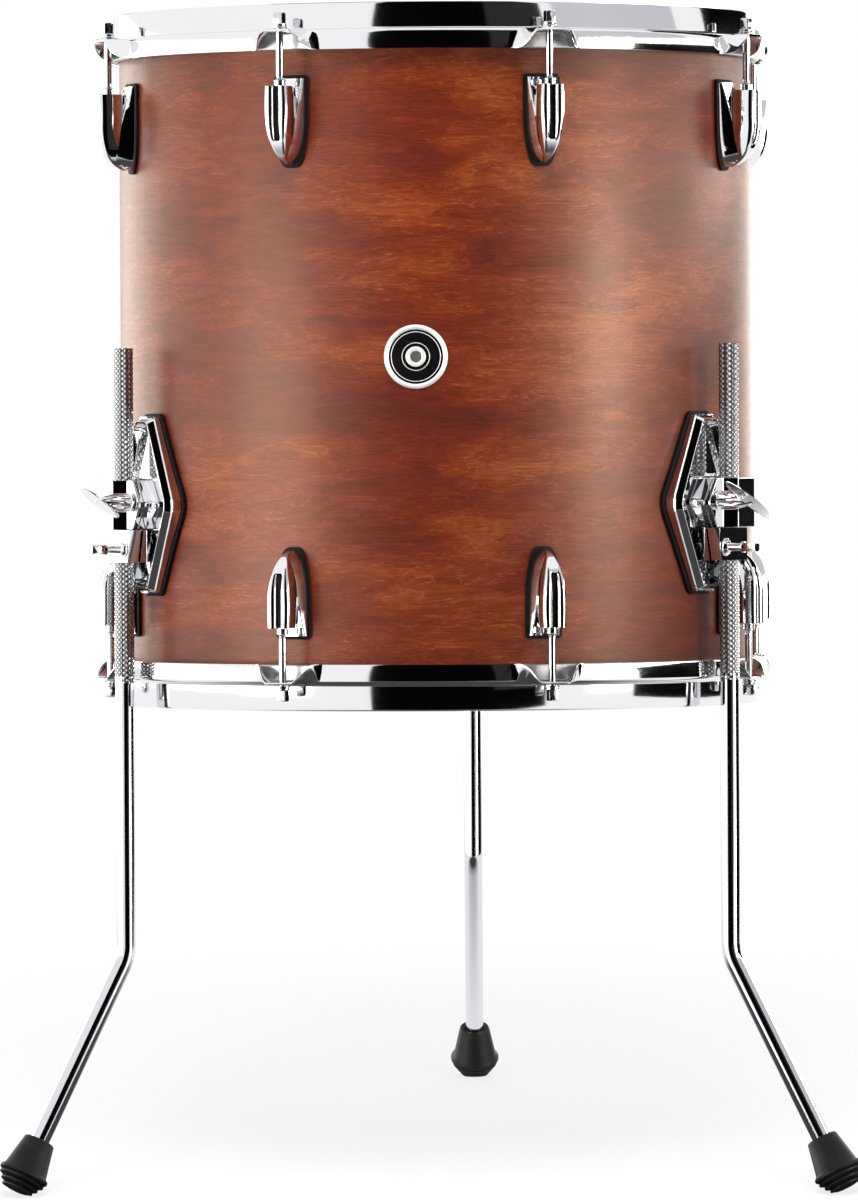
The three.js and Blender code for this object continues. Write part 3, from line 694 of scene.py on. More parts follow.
def made_shell():
    """A bent-ply cylinder, rounded outside and bevelled inside at each edge, with the vent hole."""
    inner = SHELL_RADIUS - SHELL_WALL
    crest = SHELL_RADIUS - EDGE_ROUND
    drop = (crest - inner) * tan(EDGE_BEVEL)
    upper = arc((crest, SHELL_TOP - EDGE_ROUND), EDGE_ROUND, 0, 90, 5)
    wall = [(SHELL_RADIUS, -SHELL_TOP + EDGE_ROUND)] + upper
    wall += [(inner, SHELL_TOP - drop), (inner, drop - SHELL_TOP)]
    wall += [(r, -z) for r, z in reversed(upper)][:-1]
    lengths = [0.0]
    for (r0, z0), (r1, z1) in zip(wall, wall[1:] + wall[:1]):
        lengths.append(lengths[-1] + hypot(r1 - r0, z1 - z0))
    count = len(wall)
    points = [(r * sin(turn), r * cos(turn), z) for turn in full_turn(SHELL_SIDES) for r, z in wall]
    faces = []
    for step in range(SHELL_SIDES):
        after = (step + 1) % SHELL_SIDES
        for row in range(count):
            up = (row + 1) % count
            faces.append((after * count + row, step * count + row, step * count + up, after * count + up))
    piece = mesh_piece("shell_ply", points, faces)
    mesh = piece.data
    depth = mesh.attributes.new("wall_depth", "FLOAT", "POINT")
    depth.data.foreach_set("value", [(SHELL_RADIUS - r) * MM for _ in range(SHELL_SIDES) for r, _ in wall])
    layer = mesh.uv_layers.new(name="wrap")
    for face in mesh.polygons:
        step, row = divmod(face.index, count)
        arc_from = SHELL_RADIUS * 2 * pi * step / SHELL_SIDES
        arc_to = SHELL_RADIUS * 2 * pi * (step + 1) / SHELL_SIDES
        around = (arc_to, arc_from, arc_from, arc_to)
        along = (lengths[row], lengths[row], lengths[row + 1], lengths[row + 1])
        for loop, u, v in zip(face.loop_indices, around, along):
            layer.data[loop].uv = (u * MM, v * MM)
    for finish in (VENEER, PLY, SEALER):
        mesh.materials.append(finish)
    # Each stretch of the wall is veneer outside, sealer inside, and bare ply at the edges between them
    slots = []
    for (r0, _), (r1, _) in zip(wall, wall[1:] + wall[:1]):
        widest = max(r0, r1)
        slots.append(2 if widest <= inner else 0 if widest > crest + 0.01 else 1)
    mesh.polygons.foreach_set("material_index", slots * SHELL_SIDES)
    hole = drill(VENT_RADIUS + VENT_WALL + CLEARANCE, inner - 5, SHELL_RADIUS + 5, station(0) @ ALONG_Y)
    combined(piece, ("DIFFERENCE", hole))
    piece.data.transform(DRUM)
    dressed(smoothed(piece, 25), None, "drum", "shell_wood", "shell")


made_shell()


# Heads and hoops


def made_head(end, finish):
    """Film drawn over the bearing edge and bonded into an aluminium flesh hoop."""
    place = DRUM @ FLIPS[end]
    top = SHELL_TOP + CLEARANCE + FILM
    flesh_top = SHELL_TOP - FILM_SHOULDER
    outside = arc((FILM_OUTER - EDGE_ROUND, top - EDGE_ROUND), EDGE_ROUND, 0, 90, 6)
    inside = arc((FILM_INNER - EDGE_ROUND, top - FILM - EDGE_ROUND), EDGE_ROUND, 90, 0, 6)
    rings = [(FILM_OUTER * share, top) for share in (0.92, 0.75, 0.5, 0.25, 0.02)]
    skirt = [(FILM_OUTER, flesh_top - 1)] + outside + rings + [(0, top), (0, top - FILM)]
    skirt += [(r, z - FILM) for r, z in reversed(rings)] + inside + [(FILM_INNER, flesh_top - 1)]
    film = lathe(f"{end}_film", skirt, HEAD_SIDES, place, closed=True)
    dressed(smoothed(film, 40), finish, "drum", f"{end}_film", f"{end}_head")
    bottom = flesh_top - FLESH_DEPTH
    inner = FILM_INNER + 0.1
    channel = [(inner, flesh_top - 0.6), (inner, bottom + 0.6), (inner + 0.6, bottom)]
    channel += arc((FLESH_OUTER - 1.2, bottom + 1.2), 1.2, -90, 0, 4)
    channel += arc((FLESH_OUTER - 1.2, flesh_top - 1.2), 1.2, 0, 90, 4) + [(inner + 0.6, flesh_top)]
    hoop = lathe(f"{end}_flesh_hoop", channel, HEAD_SIDES, place, closed=True)
    dressed(smoothed(hoop, 40), ALUMINIUM, "drum", f"{end}_film")


def hoop_stations():
    """Angles round the hoop with how far the skirt is lifted there: close together where it flares."""
    flat, flare, half = (w / SKIRT_RADIUS for w in (EAR_HALF_WIDTH, EAR_FLARE, pi * SKIRT_RADIUS / EARS))
    offsets = [flat * i / 3 for i in range(4)]
    offsets += [flat + (flare - flat) * i / 16 for i in range(1, 17)]
    offsets += [flare + (half - flare) * i / 8 for i in range(1, 8)]
    offsets = [-half] + [-o for o in reversed(offsets[1:])] + offsets
    for angle in EAR_ANGLES:
        for offset in offsets:
            share = min(max((abs(offset) - flat) / (flare - flat), 0), 1)
            yield angle + offset, 1 - share * share * (3 - 2 * share)


def hoop_section(lift):
    """The pressed sheet's outline at one place: collar, bend, flange, bend, and the skirt or ear."""
    half = HOOP_STEEL / 2
    bend = 2.1
    wall = COLLAR_RADIUS - half
    level = FLANGE_TOP - half
    line = [(wall, FLANGE_TOP + COLLAR_HEIGHT - half, 180), (wall, level + bend, 180)]
    curve = arc((wall + bend, level + bend), bend, 180, 270, 6)
    line += [(x, y, 180 + 15 * i) for i, (x, y) in enumerate(curve)][1:]
    hinge = SKIRT_RADIUS - half - bend
    drop = 90 * (1 - lift)
    turned = arc((hinge, level - bend), bend, 90, 90 - drop, 7)
    line += [(x, y, 270 - drop * i / 7) for i, (x, y) in enumerate(turned)]
    hang = SKIRT_DEPTH - half - bend
    reach = SKIRT_RADIUS + EAR_REACH - hinge
    length = hang + (reach - hang) * lift - half
    way = radians(-drop)
    x, y = turned[-1]
    line.append((x + length * cos(way), y + length * sin(way), 270 - drop))
    top, tip = line[0], line[-1]
    outer, inner = [], []
    for x, y, normal in line:
        a = radians(normal)
        outer.append((x + half * cos(a), y + half * sin(a)))
        inner.append((x - half * cos(a), y - half * sin(a)))
    cap_top = arc(top[:2], half, 0, 180, 4)[1:-1]
    cap_tip = arc(tip[:2], half, tip[2], tip[2] + 180, 4)[1:-1]
    return outer + cap_tip + inner[::-1] + cap_top


def made_hoop(end):
    """A pressed steel hoop whose skirt rises in a wave to an eared flange at each rod."""
    points, rings = [], []
    for angle, lift in hoop_stations():
        section = hoop_section(lift)
        rings.append(range(len(points), len(points) + len(section)))
        points += [(r * sin(angle), -r * cos(angle), z + SHELL_TOP) for r, z in section]
    faces = []
    for ring, after in zip(rings, rings[1:] + rings[:1]):
        count = len(ring)
        faces += [(ring[i], after[i], after[(i + 1) % count], ring[(i + 1) % count]) for i in range(count)]
    piece = cleaned(mesh_piece(f"{end}_hoop_pressing", points, faces), 0.0001)
    for angle in EAR_ANGLES:
        spot = station(angle) @ shifted(0, ROD_CIRCLE, SHELL_TOP)
        combined(piece, ("DIFFERENCE", drill(EAR_HOLE, -5, 5, spot, 32)))
    piece.data.transform(DRUM @ FLIPS[end])
    dressed(smoothed(piece, 40), CHROME, "drum", "hoop_chrome", f"{end}_hoop")


for end, finish in (("batter", COATED), ("resonant", CLEAR)):
    made_head(end, finish)
    made_hoop(end)


# Lugs and tension rods


def both_sides(right, height):
    """A section at a height, from the half outline that starts on the middle line and its mirror image."""
    return [(x, y, height) for x, y in right + [(-x, y) for x, y in reversed(right[1:])]]


def lug_base_width(height):
    """The base's half width at a height above the lug's middle: straight by the rod, then round."""
    nose = 0.6 * LUG_HEIGHT
    share = min((height + LUG_HEIGHT / 2) / nose, 1)
    return LUG_BASE_WIDTH / 2 * (1 - (1 - share) ** 2) ** 0.4


def lug_base_outline(margin):
    """The base's outline in (x, z), grown by a margin, with its two corners cut off."""
    half = LUG_HEIGHT / 2
    heights = [-half + LUG_HEIGHT * (1 - cos(pi / 2 * i / 20)) for i in range(1, 21)]
    side = [(lug_base_width(z) + margin, z * (half + margin) / half) for z in heights]
    x, z = side.pop()
    side += [(x, z - 2), (x - 2, z)]
    return [(0, -half - margin)] + side + [(-x, z) for x, z in reversed(side)]


def column_width(height):
    """The column's half width: fullest near its rod end and drawn in to the tip."""
    half = LUG_COLUMN_WIDTH / 2
    fullest = 8
    if height > fullest:
        return half - 0.5 * ((height - fullest) / 14) ** 2
    return half * max(1 - ((fullest - height) / 35) ** 2, 0) ** 0.75


def column_front(height):
    """How far the column stands off the shell: upright, then rounded down to the base."""
    front = ROD_STANDOFF + LUG_COLUMN_WIDTH / 2
    shoulder = 2
    share = min(max(shoulder - height, 0) / (shoulder + LUG_HEIGHT / 2), 1)
    return LUG_BASE + (front - LUG_BASE) * sqrt(1 - share * share)


def column_section(height):
    """The column's outline: a flat back, and two rounded lobes with a groove between them."""
    wide, front = column_width(height), column_front(height)
    back = max(ROD_STANDOFF - LUG_COLUMN_WIDTH / 2 - 0.5 * max(-2 - height, 0), 2)
    groove = 4.4 * sqrt(1 - min(max(-9 - height, 0) / 3.5, 1) ** 2)
    lip = min(1.5, 0.3 * wide)
    lobe = min(3.6, 0.5 * wide)
    right = [(0, front - groove), (0.85 * lip, front - groove)]
    for step in range(11):
        turn = pi * step / 10
        fall = lobe if turn > pi / 2 else min(lobe, groove)
        right.append((lip + (wide - lip) * (1 - cos(turn)) / 2, front - fall * (1 - sin(turn))))
    right += [(wide + 0.15, (front + back) / 2), (wide - 0.2, back + 1.3)]
    right += [(wide - min(1.4, 0.5 * wide), back)]
    return both_sides(right, height)


def web_section(height):
    """The side walls that rise from the base to a ridge, which climbs from the rod end to the column."""
    base = lug_base_width(height) - 0.4
    climb, rise = 41, 11.0
    share = (LUG_HEIGHT / 2 - height) / climb
    if share < 1:
        crest = LUG_BASE + 0.6 + rise * share
    else:
        crest = max(column_front(height) - 2, LUG_BASE + 0.2)
    top = max(base - 0.2 - 0.27 * (crest - LUG_BASE), 0.3 * base)
    if share >= 1:
        top = min(top, 0.95 * column_width(height))
    rib = min(1.1, 0.3 * top)
    floor = max(crest - 5, min(crest - 0.1, LUG_BASE + 0.2))
    right = [(0, floor), (top - 1.6 * rib, floor), (top - rib, crest - 0.1), (top - 0.3 * rib, crest)]
    right += [(top, crest - 0.3), (base, LUG_BASE), (base, 1.5)]
    return both_sides(right, height)


def made_lug():
    """The casting: walls ridged from the base's corners, and the grooved bullet that stands on them."""
    half = LUG_HEIGHT / 2
    end = half - LUG_COLUMN_DROP
    # The sections' heights are closer together where the outline turns faster
    heights = [end, end - 0.2, end - 1.2, 16, 12, 8, 4, 1, -2, -5, -8, -9, -10, -11, -12, -12.6]
    heights += [-14, -16, -18, -20, -22, -24, -25.5, -26.5]
    sections = [column_section(height) for height in heights]
    middle = Vector((0, ROD_STANDOFF + 0.5, 0))
    drawn_in = [middle + (Vector((x, y, 0)) - middle) * 0.9 for x, y, _ in sections[1]]
    sections[0] = [(corner.x, corner.y, end) for corner in drawn_in]
    column = smoothed(loft("column", sections), 45)
    heights = [half - 0.2, half - 1, 22, 18, 14, 10, 6, 2, -2, -6, -10, -14]
    heights += [-17, -20, -22, -24, -25.4, -26.4]
    web = smoothed(loft("web", [web_section(height) for height in heights]), 30)
    return joined("lug", column, web)


def made_lug_slot_shade():
    """A near-black strip on the floor of the slot down the column's front: given as unplated zinc, and
    painted dark as the shade of the hollow behind the slot.
    """
    front = ROD_STANDOFF + LUG_COLUMN_WIDTH / 2
    end, nose = LUG_HEIGHT / 2 - LUG_COLUMN_DROP - 0.3, -10.5
    half = 1.35
    outline = [(-half, nose), (0, nose - 1.4), (half, nose), (half, end), (-half, end)]
    return outwards("slot", (front - 7, outline), (front - 3.6, outline))


def made_lug_gasket():
    """The black gasket that shows as an outline round the casting."""
    outline = lug_base_outline(1.9)
    return smoothed(bevelled(outwards("gasket", (0.2, outline), (2.0, outline)), 0.5, 40), 40)


def made_swivel_nut():
    """The turned collar that shows where the rod enters the column."""
    end = LUG_HEIGHT / 2 - LUG_COLUMN_DROP
    bore = ROD_SHANK + 0.15
    profile = [(bore, end - 6), (3.2, end - 6), (3.2, end + 0.3), (3.8, end + 0.6), (3.8, end + 1.6)]
    profile += [(3.4, end + 2.0), (3.8, end + 2.4), (3.8, end + 3.5), (3.4, end + 3.9), (bore, end + 3.9)]
    return smoothed(lathe("nut", profile, 40, shifted(0, ROD_STANDOFF, 0), closed=True), 35)


def made_tension_rod():
    """A key rod: threaded shaft, washer and square head, along Z with its seat at the ear's top."""
    tip = LUG_ROD_END - ROD_ENGAGEMENT - FLANGE_TOP - SHELL_TOP
    thread_start = tip + 0.6
    thread_end = tip + ROD_ENGAGEMENT + 6
    seat = CLEARANCE
    low = seat + WASHER
    shaft = [(0, tip), (ROD_SHANK - 0.5, tip), (ROD_SHANK - 0.25, thread_start)]
    for turn in range(int((thread_end - thread_start) / THREAD_PITCH)):
        base = thread_start + turn * THREAD_PITCH
        shaft += [(ROD_SHANK, base + THREAD_PITCH * 0.35), (ROD_SHANK, base + THREAD_PITCH * 0.5)]
        shaft += [(ROD_SHANK - 0.32, base + THREAD_PITCH * 0.88)]
    shaft += [(ROD_SHANK, thread_end + 0.6), (ROD_SHANK, low + 0.5), (0, low + 0.5)]
    washer = [(ROD_SHANK + 0.1, seat), (WASHER_RADIUS - 0.3, seat), (WASHER_RADIUS, seat + 0.3)]
    washer += [(WASHER_RADIUS, low - 0.3), (WASHER_RADIUS - 0.3, low), (ROD_SHANK + 0.1, low)]
    collar = [(0, low), (4.1, low), (4.3, low + 0.5), (4.3, low + 1.3), (3.6, low + 1.9), (0, low + 1.9)]
    return joined(
        "tension_rod",
        smoothed(lathe("shaft", shaft, 24), 35),
        smoothed(lathe("washer", washer, 32, closed=True), 35),
        smoothed(lathe("collar", collar, 32), 35),
        square_head(KEY_HEAD_WIDTH, low + 1, low + KEY_HEAD_HEIGHT, crown=4.6, fall=1.1, top=3.2),
    )


lug_parts = {
    "casting": (made_lug(), CAST_CHROME),
    # The slot's strip is painted shade
    "slot": (made_lug_slot_shade(), SLOT_SHADE_ZINC),
    "gasket": (made_lug_gasket(), GASKET_RUBBER),
    "swivel_nut": (made_swivel_nut(), ROD_CHROME),
}
rod_model = made_tension_rod()
for end in FLIPS:
    for number, place in ear_places(end):
        at_lug = place @ shifted(0, SHELL_RADIUS, LUG_CENTRE)
        for part, (source, finish) in lug_parts.items():
            lug = mesh_object(f"lug_{part}_{end}_{number}", source.data.copy(), at_lug)
            stood_for = [f"lug_{end}_{number}"] if part == "casting" else []
            dressed(lug, finish, "drum", "lug_chrome", *stood_for)
        at_rod = place @ shifted(0, ROD_CIRCLE, SHELL_TOP + FLANGE_TOP)
        rod = mesh_object(f"key_rod_{end}_{number}", rod_model.data.copy(), at_rod)
        dressed(rod, ROD_CHROME, f"tension_rod_{end}_{number}", "rod_chrome", f"tension_rod_{end}_{number}")
removed(rod_model, *[source for source, _ in lug_parts.values()])


# Badge and vent


def shell_skin(radius, hole, low, high, rounded_over=False):
    """A round plate bent to the shell, from low to high above it, with a hole at its middle."""
    count, sides = 11, 96
    points = []
    for level in (low, high):
        for ring in range(count):
            share = ring / (count - 1)
            r = hole + (radius - hole) * share
            lift = level
            if rounded_over and level == high:
                lift = low + (high - low) * max(sin(pi * share), 0.15) ** 0.6
            for turn in full_turn(sides):
                x, z = r * cos(turn), r * sin(turn)
                points.append((x, sqrt((SHELL_RADIUS + lift) ** 2 - x * x), z))

    def at(level, ring, step):
        return (level * count + ring) * sides + step % sides

    faces = []
    for step in range(sides):
        after = step + 1
        for ring in range(count - 1):
            out = ring + 1
            faces.append((at(1, ring, step), at(1, out, step), at(1, out, after), at(1, ring, after)))
            faces.append((at(0, ring, step), at(0, ring, after), at(0, out, after), at(0, out, step)))
        for ring in (0, count - 1):
            faces.append((at(0, ring, step), at(1, ring, step), at(1, ring, after), at(0, ring, after)))
    return cleaned(mesh_piece("skin", points, faces), 0.0001)


def made_badge():
    """A plain enamelled disc with two bright rings in it and a satin rim, held by the vent's eyelet."""
    front = DRUM @ station(0)
    tube = VENT_RADIUS + VENT_WALL
    edge = BADGE_RADIUS - BADGE_RIM
    disc = joined("badge_disc", shell_skin(edge + 0.5, tube + 0.3, CLEARANCE, BADGE_THICKNESS), place=front)
    dressed(smoothed(disc, 35), ENAMEL, "drum", "badge_enamel", "badge")
    rings = [shell_skin(BADGE_RADIUS, edge, CLEARANCE, BADGE_RIM_THICKNESS + CLEARANCE, True)]
    for radius in BADGE_RINGS:
        rings.append(shell_skin(radius + 0.4, radius - 0.4, CLEARANCE, BADGE_THICKNESS + 0.25, True))
    rim = joined("badge_rings", *rings, place=front)
    dressed(smoothed(rim, 50), SATIN_NICKEL, "drum", "badge_enamel")
    outer = SHELL_RADIUS + CLEARANCE + BADGE_THICKNESS
    inner = SHELL_RADIUS - SHELL_WALL - CLEARANCE
    profile = [(VENT_RADIUS, inner - VENT_FLANGE)]
    profile += arc((VENT_FLANGE_RADIUS - 0.5, inner - 0.5), 0.5, -90, 90, 6)
    profile += [(tube, inner), (tube, outer)]
    profile += arc((VENT_FLANGE_RADIUS - 0.6, outer + 0.6), 0.6, -80, 100, 8)
    profile += arc((VENT_RADIUS + 0.7, outer + 0.5), 0.7, 90, 180, 5)
    grommet = lathe("vent_eyelet", profile, 64, front @ ALONG_Y, closed=True)
    dressed(smoothed(grommet, 35), SATIN_NICKEL, "drum", "grommet_chrome", "vent_grommet")


made_badge()


# Brackets, clamps and locks


def plate_slope():
    """How fast the plate's long edges draw in."""
    return (PLATE_HALF_WIDTH - PLATE_END_HALF_WIDTH) / (PLATE_HALF_HEIGHT - PLATE_TIP_HALF_HEIGHT)


def plate_outline(inset=0.0):
    """The plate's long hexagon in (x, z), with its edges moved in by an inset."""
    slope = plate_slope()
    stretch = hypot(1, slope)
    wide, high = PLATE_HALF_WIDTH - inset, PLATE_HALF_HEIGHT - inset
    end = PLATE_END_HALF_WIDTH - inset * (stretch - slope)
    tip = PLATE_TIP_HALF_HEIGHT - inset * (stretch - 1) / slope
    quarter = [(wide, tip), (end, high)]
    half = quarter + [(-x, z) for x, z in reversed(quarter)]
    return half + [(x, -z) for x, z in reversed(half)]


def pocket_outline(inset, flip):
    """The window between the plate's rim and the bridge, above or below it."""
    slope = plate_slope()
    start = PLATE_HALF_WIDTH + PLATE_TIP_HALF_HEIGHT * slope - inset * hypot(1, slope)
    low, high = CLAMP_HALF_HEIGHT + 1.2 + (inset - POCKET_INSET), PLATE_HALF_HEIGHT - inset
    return [(x * (start - slope * z), flip * z) for x, z in ((-1, low), (1, low), (1, high), (-1, high))]


def block_outline(hand):
    """The clamp's outline in (x, z): pointed sides, the bolt's side more than the leg's."""
    half, tip = CLAMP_HALF_HEIGHT, 1.5
    upper = [(CLAMP_FAR, tip), (CLAMP_FAR - 2.4, half), (CLAMP_NEAR + CLAMP_SLANT, half), (CLAMP_NEAR, tip)]
    outline = [(hand * x, z) for x, z in upper + [(x, -z) for x, z in reversed(upper)]]
    return rounded(outline, 0.8, steps=2)


def off_shell(name, *levels):
    """A solid through (reach, outline) pairs, with the reach counted from the shell."""
    return outwards(name, *[(SHELL_RADIUS + reach, outline) for reach, outline in levels])


def shell_cylinder(radius):
    """A cutter as wide as the shell with whatever lies on it."""
    return drill(radius, -SHELL_TOP, SHELL_TOP, sides=SHELL_SIDES)


def leg_bore(hand):
    """A cutter for the leg's hole through a clamp or a lock."""
    axis = shifted(hand * LEG_OFFSET, SHELL_RADIUS + LEG_STANDOFF)
    return drill(LEG_CLEAR_RADIUS, -SHELL_TOP, SHELL_TOP, axis, 64)


def bolt_bore(hand, near, far):
    """A cutter for the wing bolt's hole."""
    axis = shifted(hand * BOLT_OFFSET, 0, BOLT_RISE) @ ALONG_Y
    return drill(BOLT_RADIUS + CLEARANCE, SHELL_RADIUS + near, SHELL_RADIUS + far, axis, 32)


def made_bridge(hand):
    """A low roof across the plate: a level ridge from each tip to the clamp, with flat flanks."""
    tip, rise = PLATE_HALF_WIDTH - 0.3, PLATE_TIP_HALF_HEIGHT - 0.8
    edge, flank = PLATE_HALF_WIDTH - 7, CLAMP_HALF_HEIGHT + 0.4
    points = []
    for way, end, inner in ((-hand, -CLAMP_NEAR - 1, -CLAMP_NEAR - CLAMP_SLANT),
                            (hand, CLAMP_FAR - 1, CLAMP_FAR - 4)):
        start = Vector((tip, PLATE_STEP, rise))
        ridge = Vector((end, BRIDGE_RISE, rise)) - start
        normal = ridge.cross(Vector((inner, PLATE_FRONT, flank)) - start)
        fall = PLATE_STEP - (normal.x * (edge - tip) + normal.z * (flank - rise)) / normal.y
        for flip in (-1, 1):
            points += [(way * tip, PLATE_STEP, flip * rise), (way * end, BRIDGE_RISE, flip * rise)]
            points += [(way * inner, PLATE_FRONT, flip * flank), (way * edge, fall, flip * flank)]
            points += [(way * tip, -3, flip * rise), (way * edge, -3, flip * flank)]
    return hull("bridge", [(x, SHELL_RADIUS + y, z) for x, y, z in points])


def made_bracket(side):
    """A plate with a slanted rim and two pockets, and a bridge that carries the clamp's fixed half."""
    hand = LEGS[side]["hand"]
    steps = ((-5, 0), (PLATE_STEP, 0), (PLATE_STEP, LEDGE), (PLATE_FRONT, BAND_INSET))
    plate = off_shell("plate", *[(reach, rounded(plate_outline(inset), 2.0)) for reach, inset in steps])
    walls = ((PLATE_FRONT + 4, -0.7), (PLATE_FRONT, 0.0), (POCKET_FLOOR, 1.2))
    for flip in (1, -1):
        levels = []
        for reach, more in walls:
            levels.append((reach, rounded(pocket_outline(POCKET_INSET + more, flip), 2.6, 2.6, 5, 5)))
        combined(plate, ("DIFFERENCE", off_shell("pocket", *levels)))
    back = SHELL_RADIUS + GASKET + 2 * CLEARANCE
    combined(plate, ("DIFFERENCE", shell_cylinder(back)))
    flat_faced(bevelled(cleaned(plate), 0.35, 40))
    bridge = combined(made_bridge(hand), ("DIFFERENCE", shell_cylinder(back)))
    outline = block_outline(hand)
    block = off_shell("block", (PLATE_STEP - 2, outline), (CLAMP_SEAM, outline))
    for solid, sharp in ((bridge, 12), (block, 30)):
        bolt = bolt_bore(hand, BOLT_END - CLEARANCE, CLAMP_SEAM + 5)
        combined(solid, ("DIFFERENCE", leg_bore(hand)), ("DIFFERENCE", bolt))
        flat_faced(bevelled(cleaned(solid), 0.5, sharp), 40)
    hinge = shifted(hand * (CLAMP_NEAR + 0.4), SHELL_RADIUS + CLAMP_SEAM - 2.1, 0)
    pin = smoothed(lathe("pin", arc((0, 0), 1.9, -90, 90, 10), 24, hinge), 60)
    bracket = joined(f"bracket_casting_{side}", plate, bridge, block, pin, place=bracket_place(side))
    dressed(bracket, CAST_CHROME, "drum", "bracket_chrome", f"leg_bracket_{side}")


def made_bracket_gasket(side):
    """A sheet gasket bent to the shell, a little larger than the plate."""
    outline = rounded(plate_outline(-GASKET_MARGIN), 4.0)
    sheet = off_shell(f"bracket_gasket_sheet_{side}", (-10, outline), (10, outline))
    inner = SHELL_RADIUS + CLEARANCE
    combined(sheet, ("DIFFERENCE", shell_cylinder(inner)), ("INTERSECT", shell_cylinder(inner + GASKET)))
    bevelled(cleaned(sheet), 0.5, 40)
    sheet.data.transform(bracket_place(side))
    dressed(smoothed(sheet, 35), GASKET_RUBBER, "drum", "gasket_rubber", f"bracket_gasket_{side}")


def made_jaw(side):
    """The clamp's outer half: a thin ear for the wing bolt and a thicker wall round the leg."""
    hand = LEGS[side]["hand"]
    back = SHELL_RADIUS + CLAMP_SEAM + CLEARANCE
    ear = back + JAW_EAR
    front = SHELL_RADIUS + JAW_FRONT
    wall = BOLT_OFFSET + SLEEVE_RADIUS + CLEARANCE
    plan = [(CLAMP_NEAR, back), (CLAMP_FAR, back), (CLAMP_FAR, front - JAW_SLOPE)]
    plan += [(CLAMP_FAR - JAW_SLOPE, front), (wall + JAW_SLOPE, front), (wall, ear + 1), (wall - 0.4, ear)]
    plan += [(CLAMP_NEAR, ear)]
    reach = CLAMP_HALF_HEIGHT + 1
    jaw = prism(f"clamp_jaw_casting_{side}", [(hand * x, y) for x, y in plan], -reach, reach)
    outline = block_outline(hand)
    sides = off_shell("sides", (CLAMP_SEAM, outline), (JAW_FRONT + 1, outline))
    combined(jaw, ("INTERSECT", sides), ("DIFFERENCE", leg_bore(hand)))
    combined(jaw, ("DIFFERENCE", bolt_bore(hand, 0, JAW_FRONT + 5)))
    bevelled(cleaned(jaw), 0.6, 30)
    jaw.data.transform(bracket_place(side))
    dressed(flat_faced(jaw), CAST_CHROME, f"clamp_jaw_{side}", "clamp_chrome", f"clamp_jaw_{side}")


def made_wing_bolt(side):
    """A threaded shank, a fluted sleeve and a leaf-shaped wing with a ridge down each face."""
    start = CLAMP_SEAM + CLEARANCE + JAW_EAR + CLEARANCE
    end = start + SLEEVE_LENGTH
    shank = [(0, BOLT_END), (BOLT_RADIUS - 0.5, BOLT_END), (BOLT_RADIUS, BOLT_END + 0.5)]
    shank += [(BOLT_RADIUS, start + 1), (0, start + 1)]
    shank = smoothed(lathe("shank", shank, 32), 35)
    sleeve = fluted_sleeve(start, end)
    wing = leaf_wing(end + WING_HALF_WIDTH)
    spot = bracket_place(side) @ shifted(LEGS[side]["hand"] * BOLT_OFFSET, SHELL_RADIUS, BOLT_RISE) @ ALONG_Y
    spot = spot @ Matrix.Rotation(LEGS[side]["tilt"], 4, "Z")
    bolt = joined(f"wing_bolt_casting_{side}", shank, sleeve, wing, place=spot)
    dressed(bolt, CAST_CHROME, f"wing_bolt_{side}", "bolt_chrome", f"wing_bolt_{side}")


def fluted_sleeve(start, end):
    """The sleeve between the shank and the wing: a collar, then deep flutes drawn in towards the wing."""
    full, hub = SLEEVE_RADIUS, WING_HUB_RADIUS
    # Height, radius and the flutes' depth
    rows = [(start, full - 0.4, 0), (start + 0.4, full, 0), (start + 2.0, full, 0)]
    rows += [(start + 2.4, full - 0.5, 0.2), (start + 3.2, full, 1.5), (end - 3.5, full, 1.7)]
    rows += [(end - 1, full - 0.5, 1.2), (end + 1, hub - 0.4, 0.3), (end + WING_HALF_WIDTH, hub - 1.8, 0)]
    rows += [(end + WING_HALF_WIDTH * 1.5, hub - 3.2, 0)]
    sections = []
    for height, radius, flute in rows:
        ring = []
        for turn in full_turn(72):
            r = radius - flute * (0.5 + 0.5 * cos(FLUTES * turn)) ** 1.5
            ring.append((r * cos(turn), r * sin(turn), height))
        sections.append(ring)
    return smoothed(loft("sleeve", sections), 40)


def leaf_wing(centre):
    """A leaf across the bolt: pointed at both tips, with a ridge down the middle of each face."""
    spans, sections = 30, []
    for i in range(spans + 1):
        share = 0.999 * cos(pi * i / spans)
        wide = WING_HALF_WIDTH * (1 - share * share) ** 0.62
        thick = WING_HALF_THICKNESS * (1 - share * share) ** 0.5
        ring = rounded([(thick, 0), (0, wide), (-thick, 0), (0, -wide)], 0.3 * min(thick, wide), steps=3)
        sections.append([(WING_HALF_SPAN * share, y, centre + z) for y, z in ring])
    return smoothed(loft("wing", sections), 35)


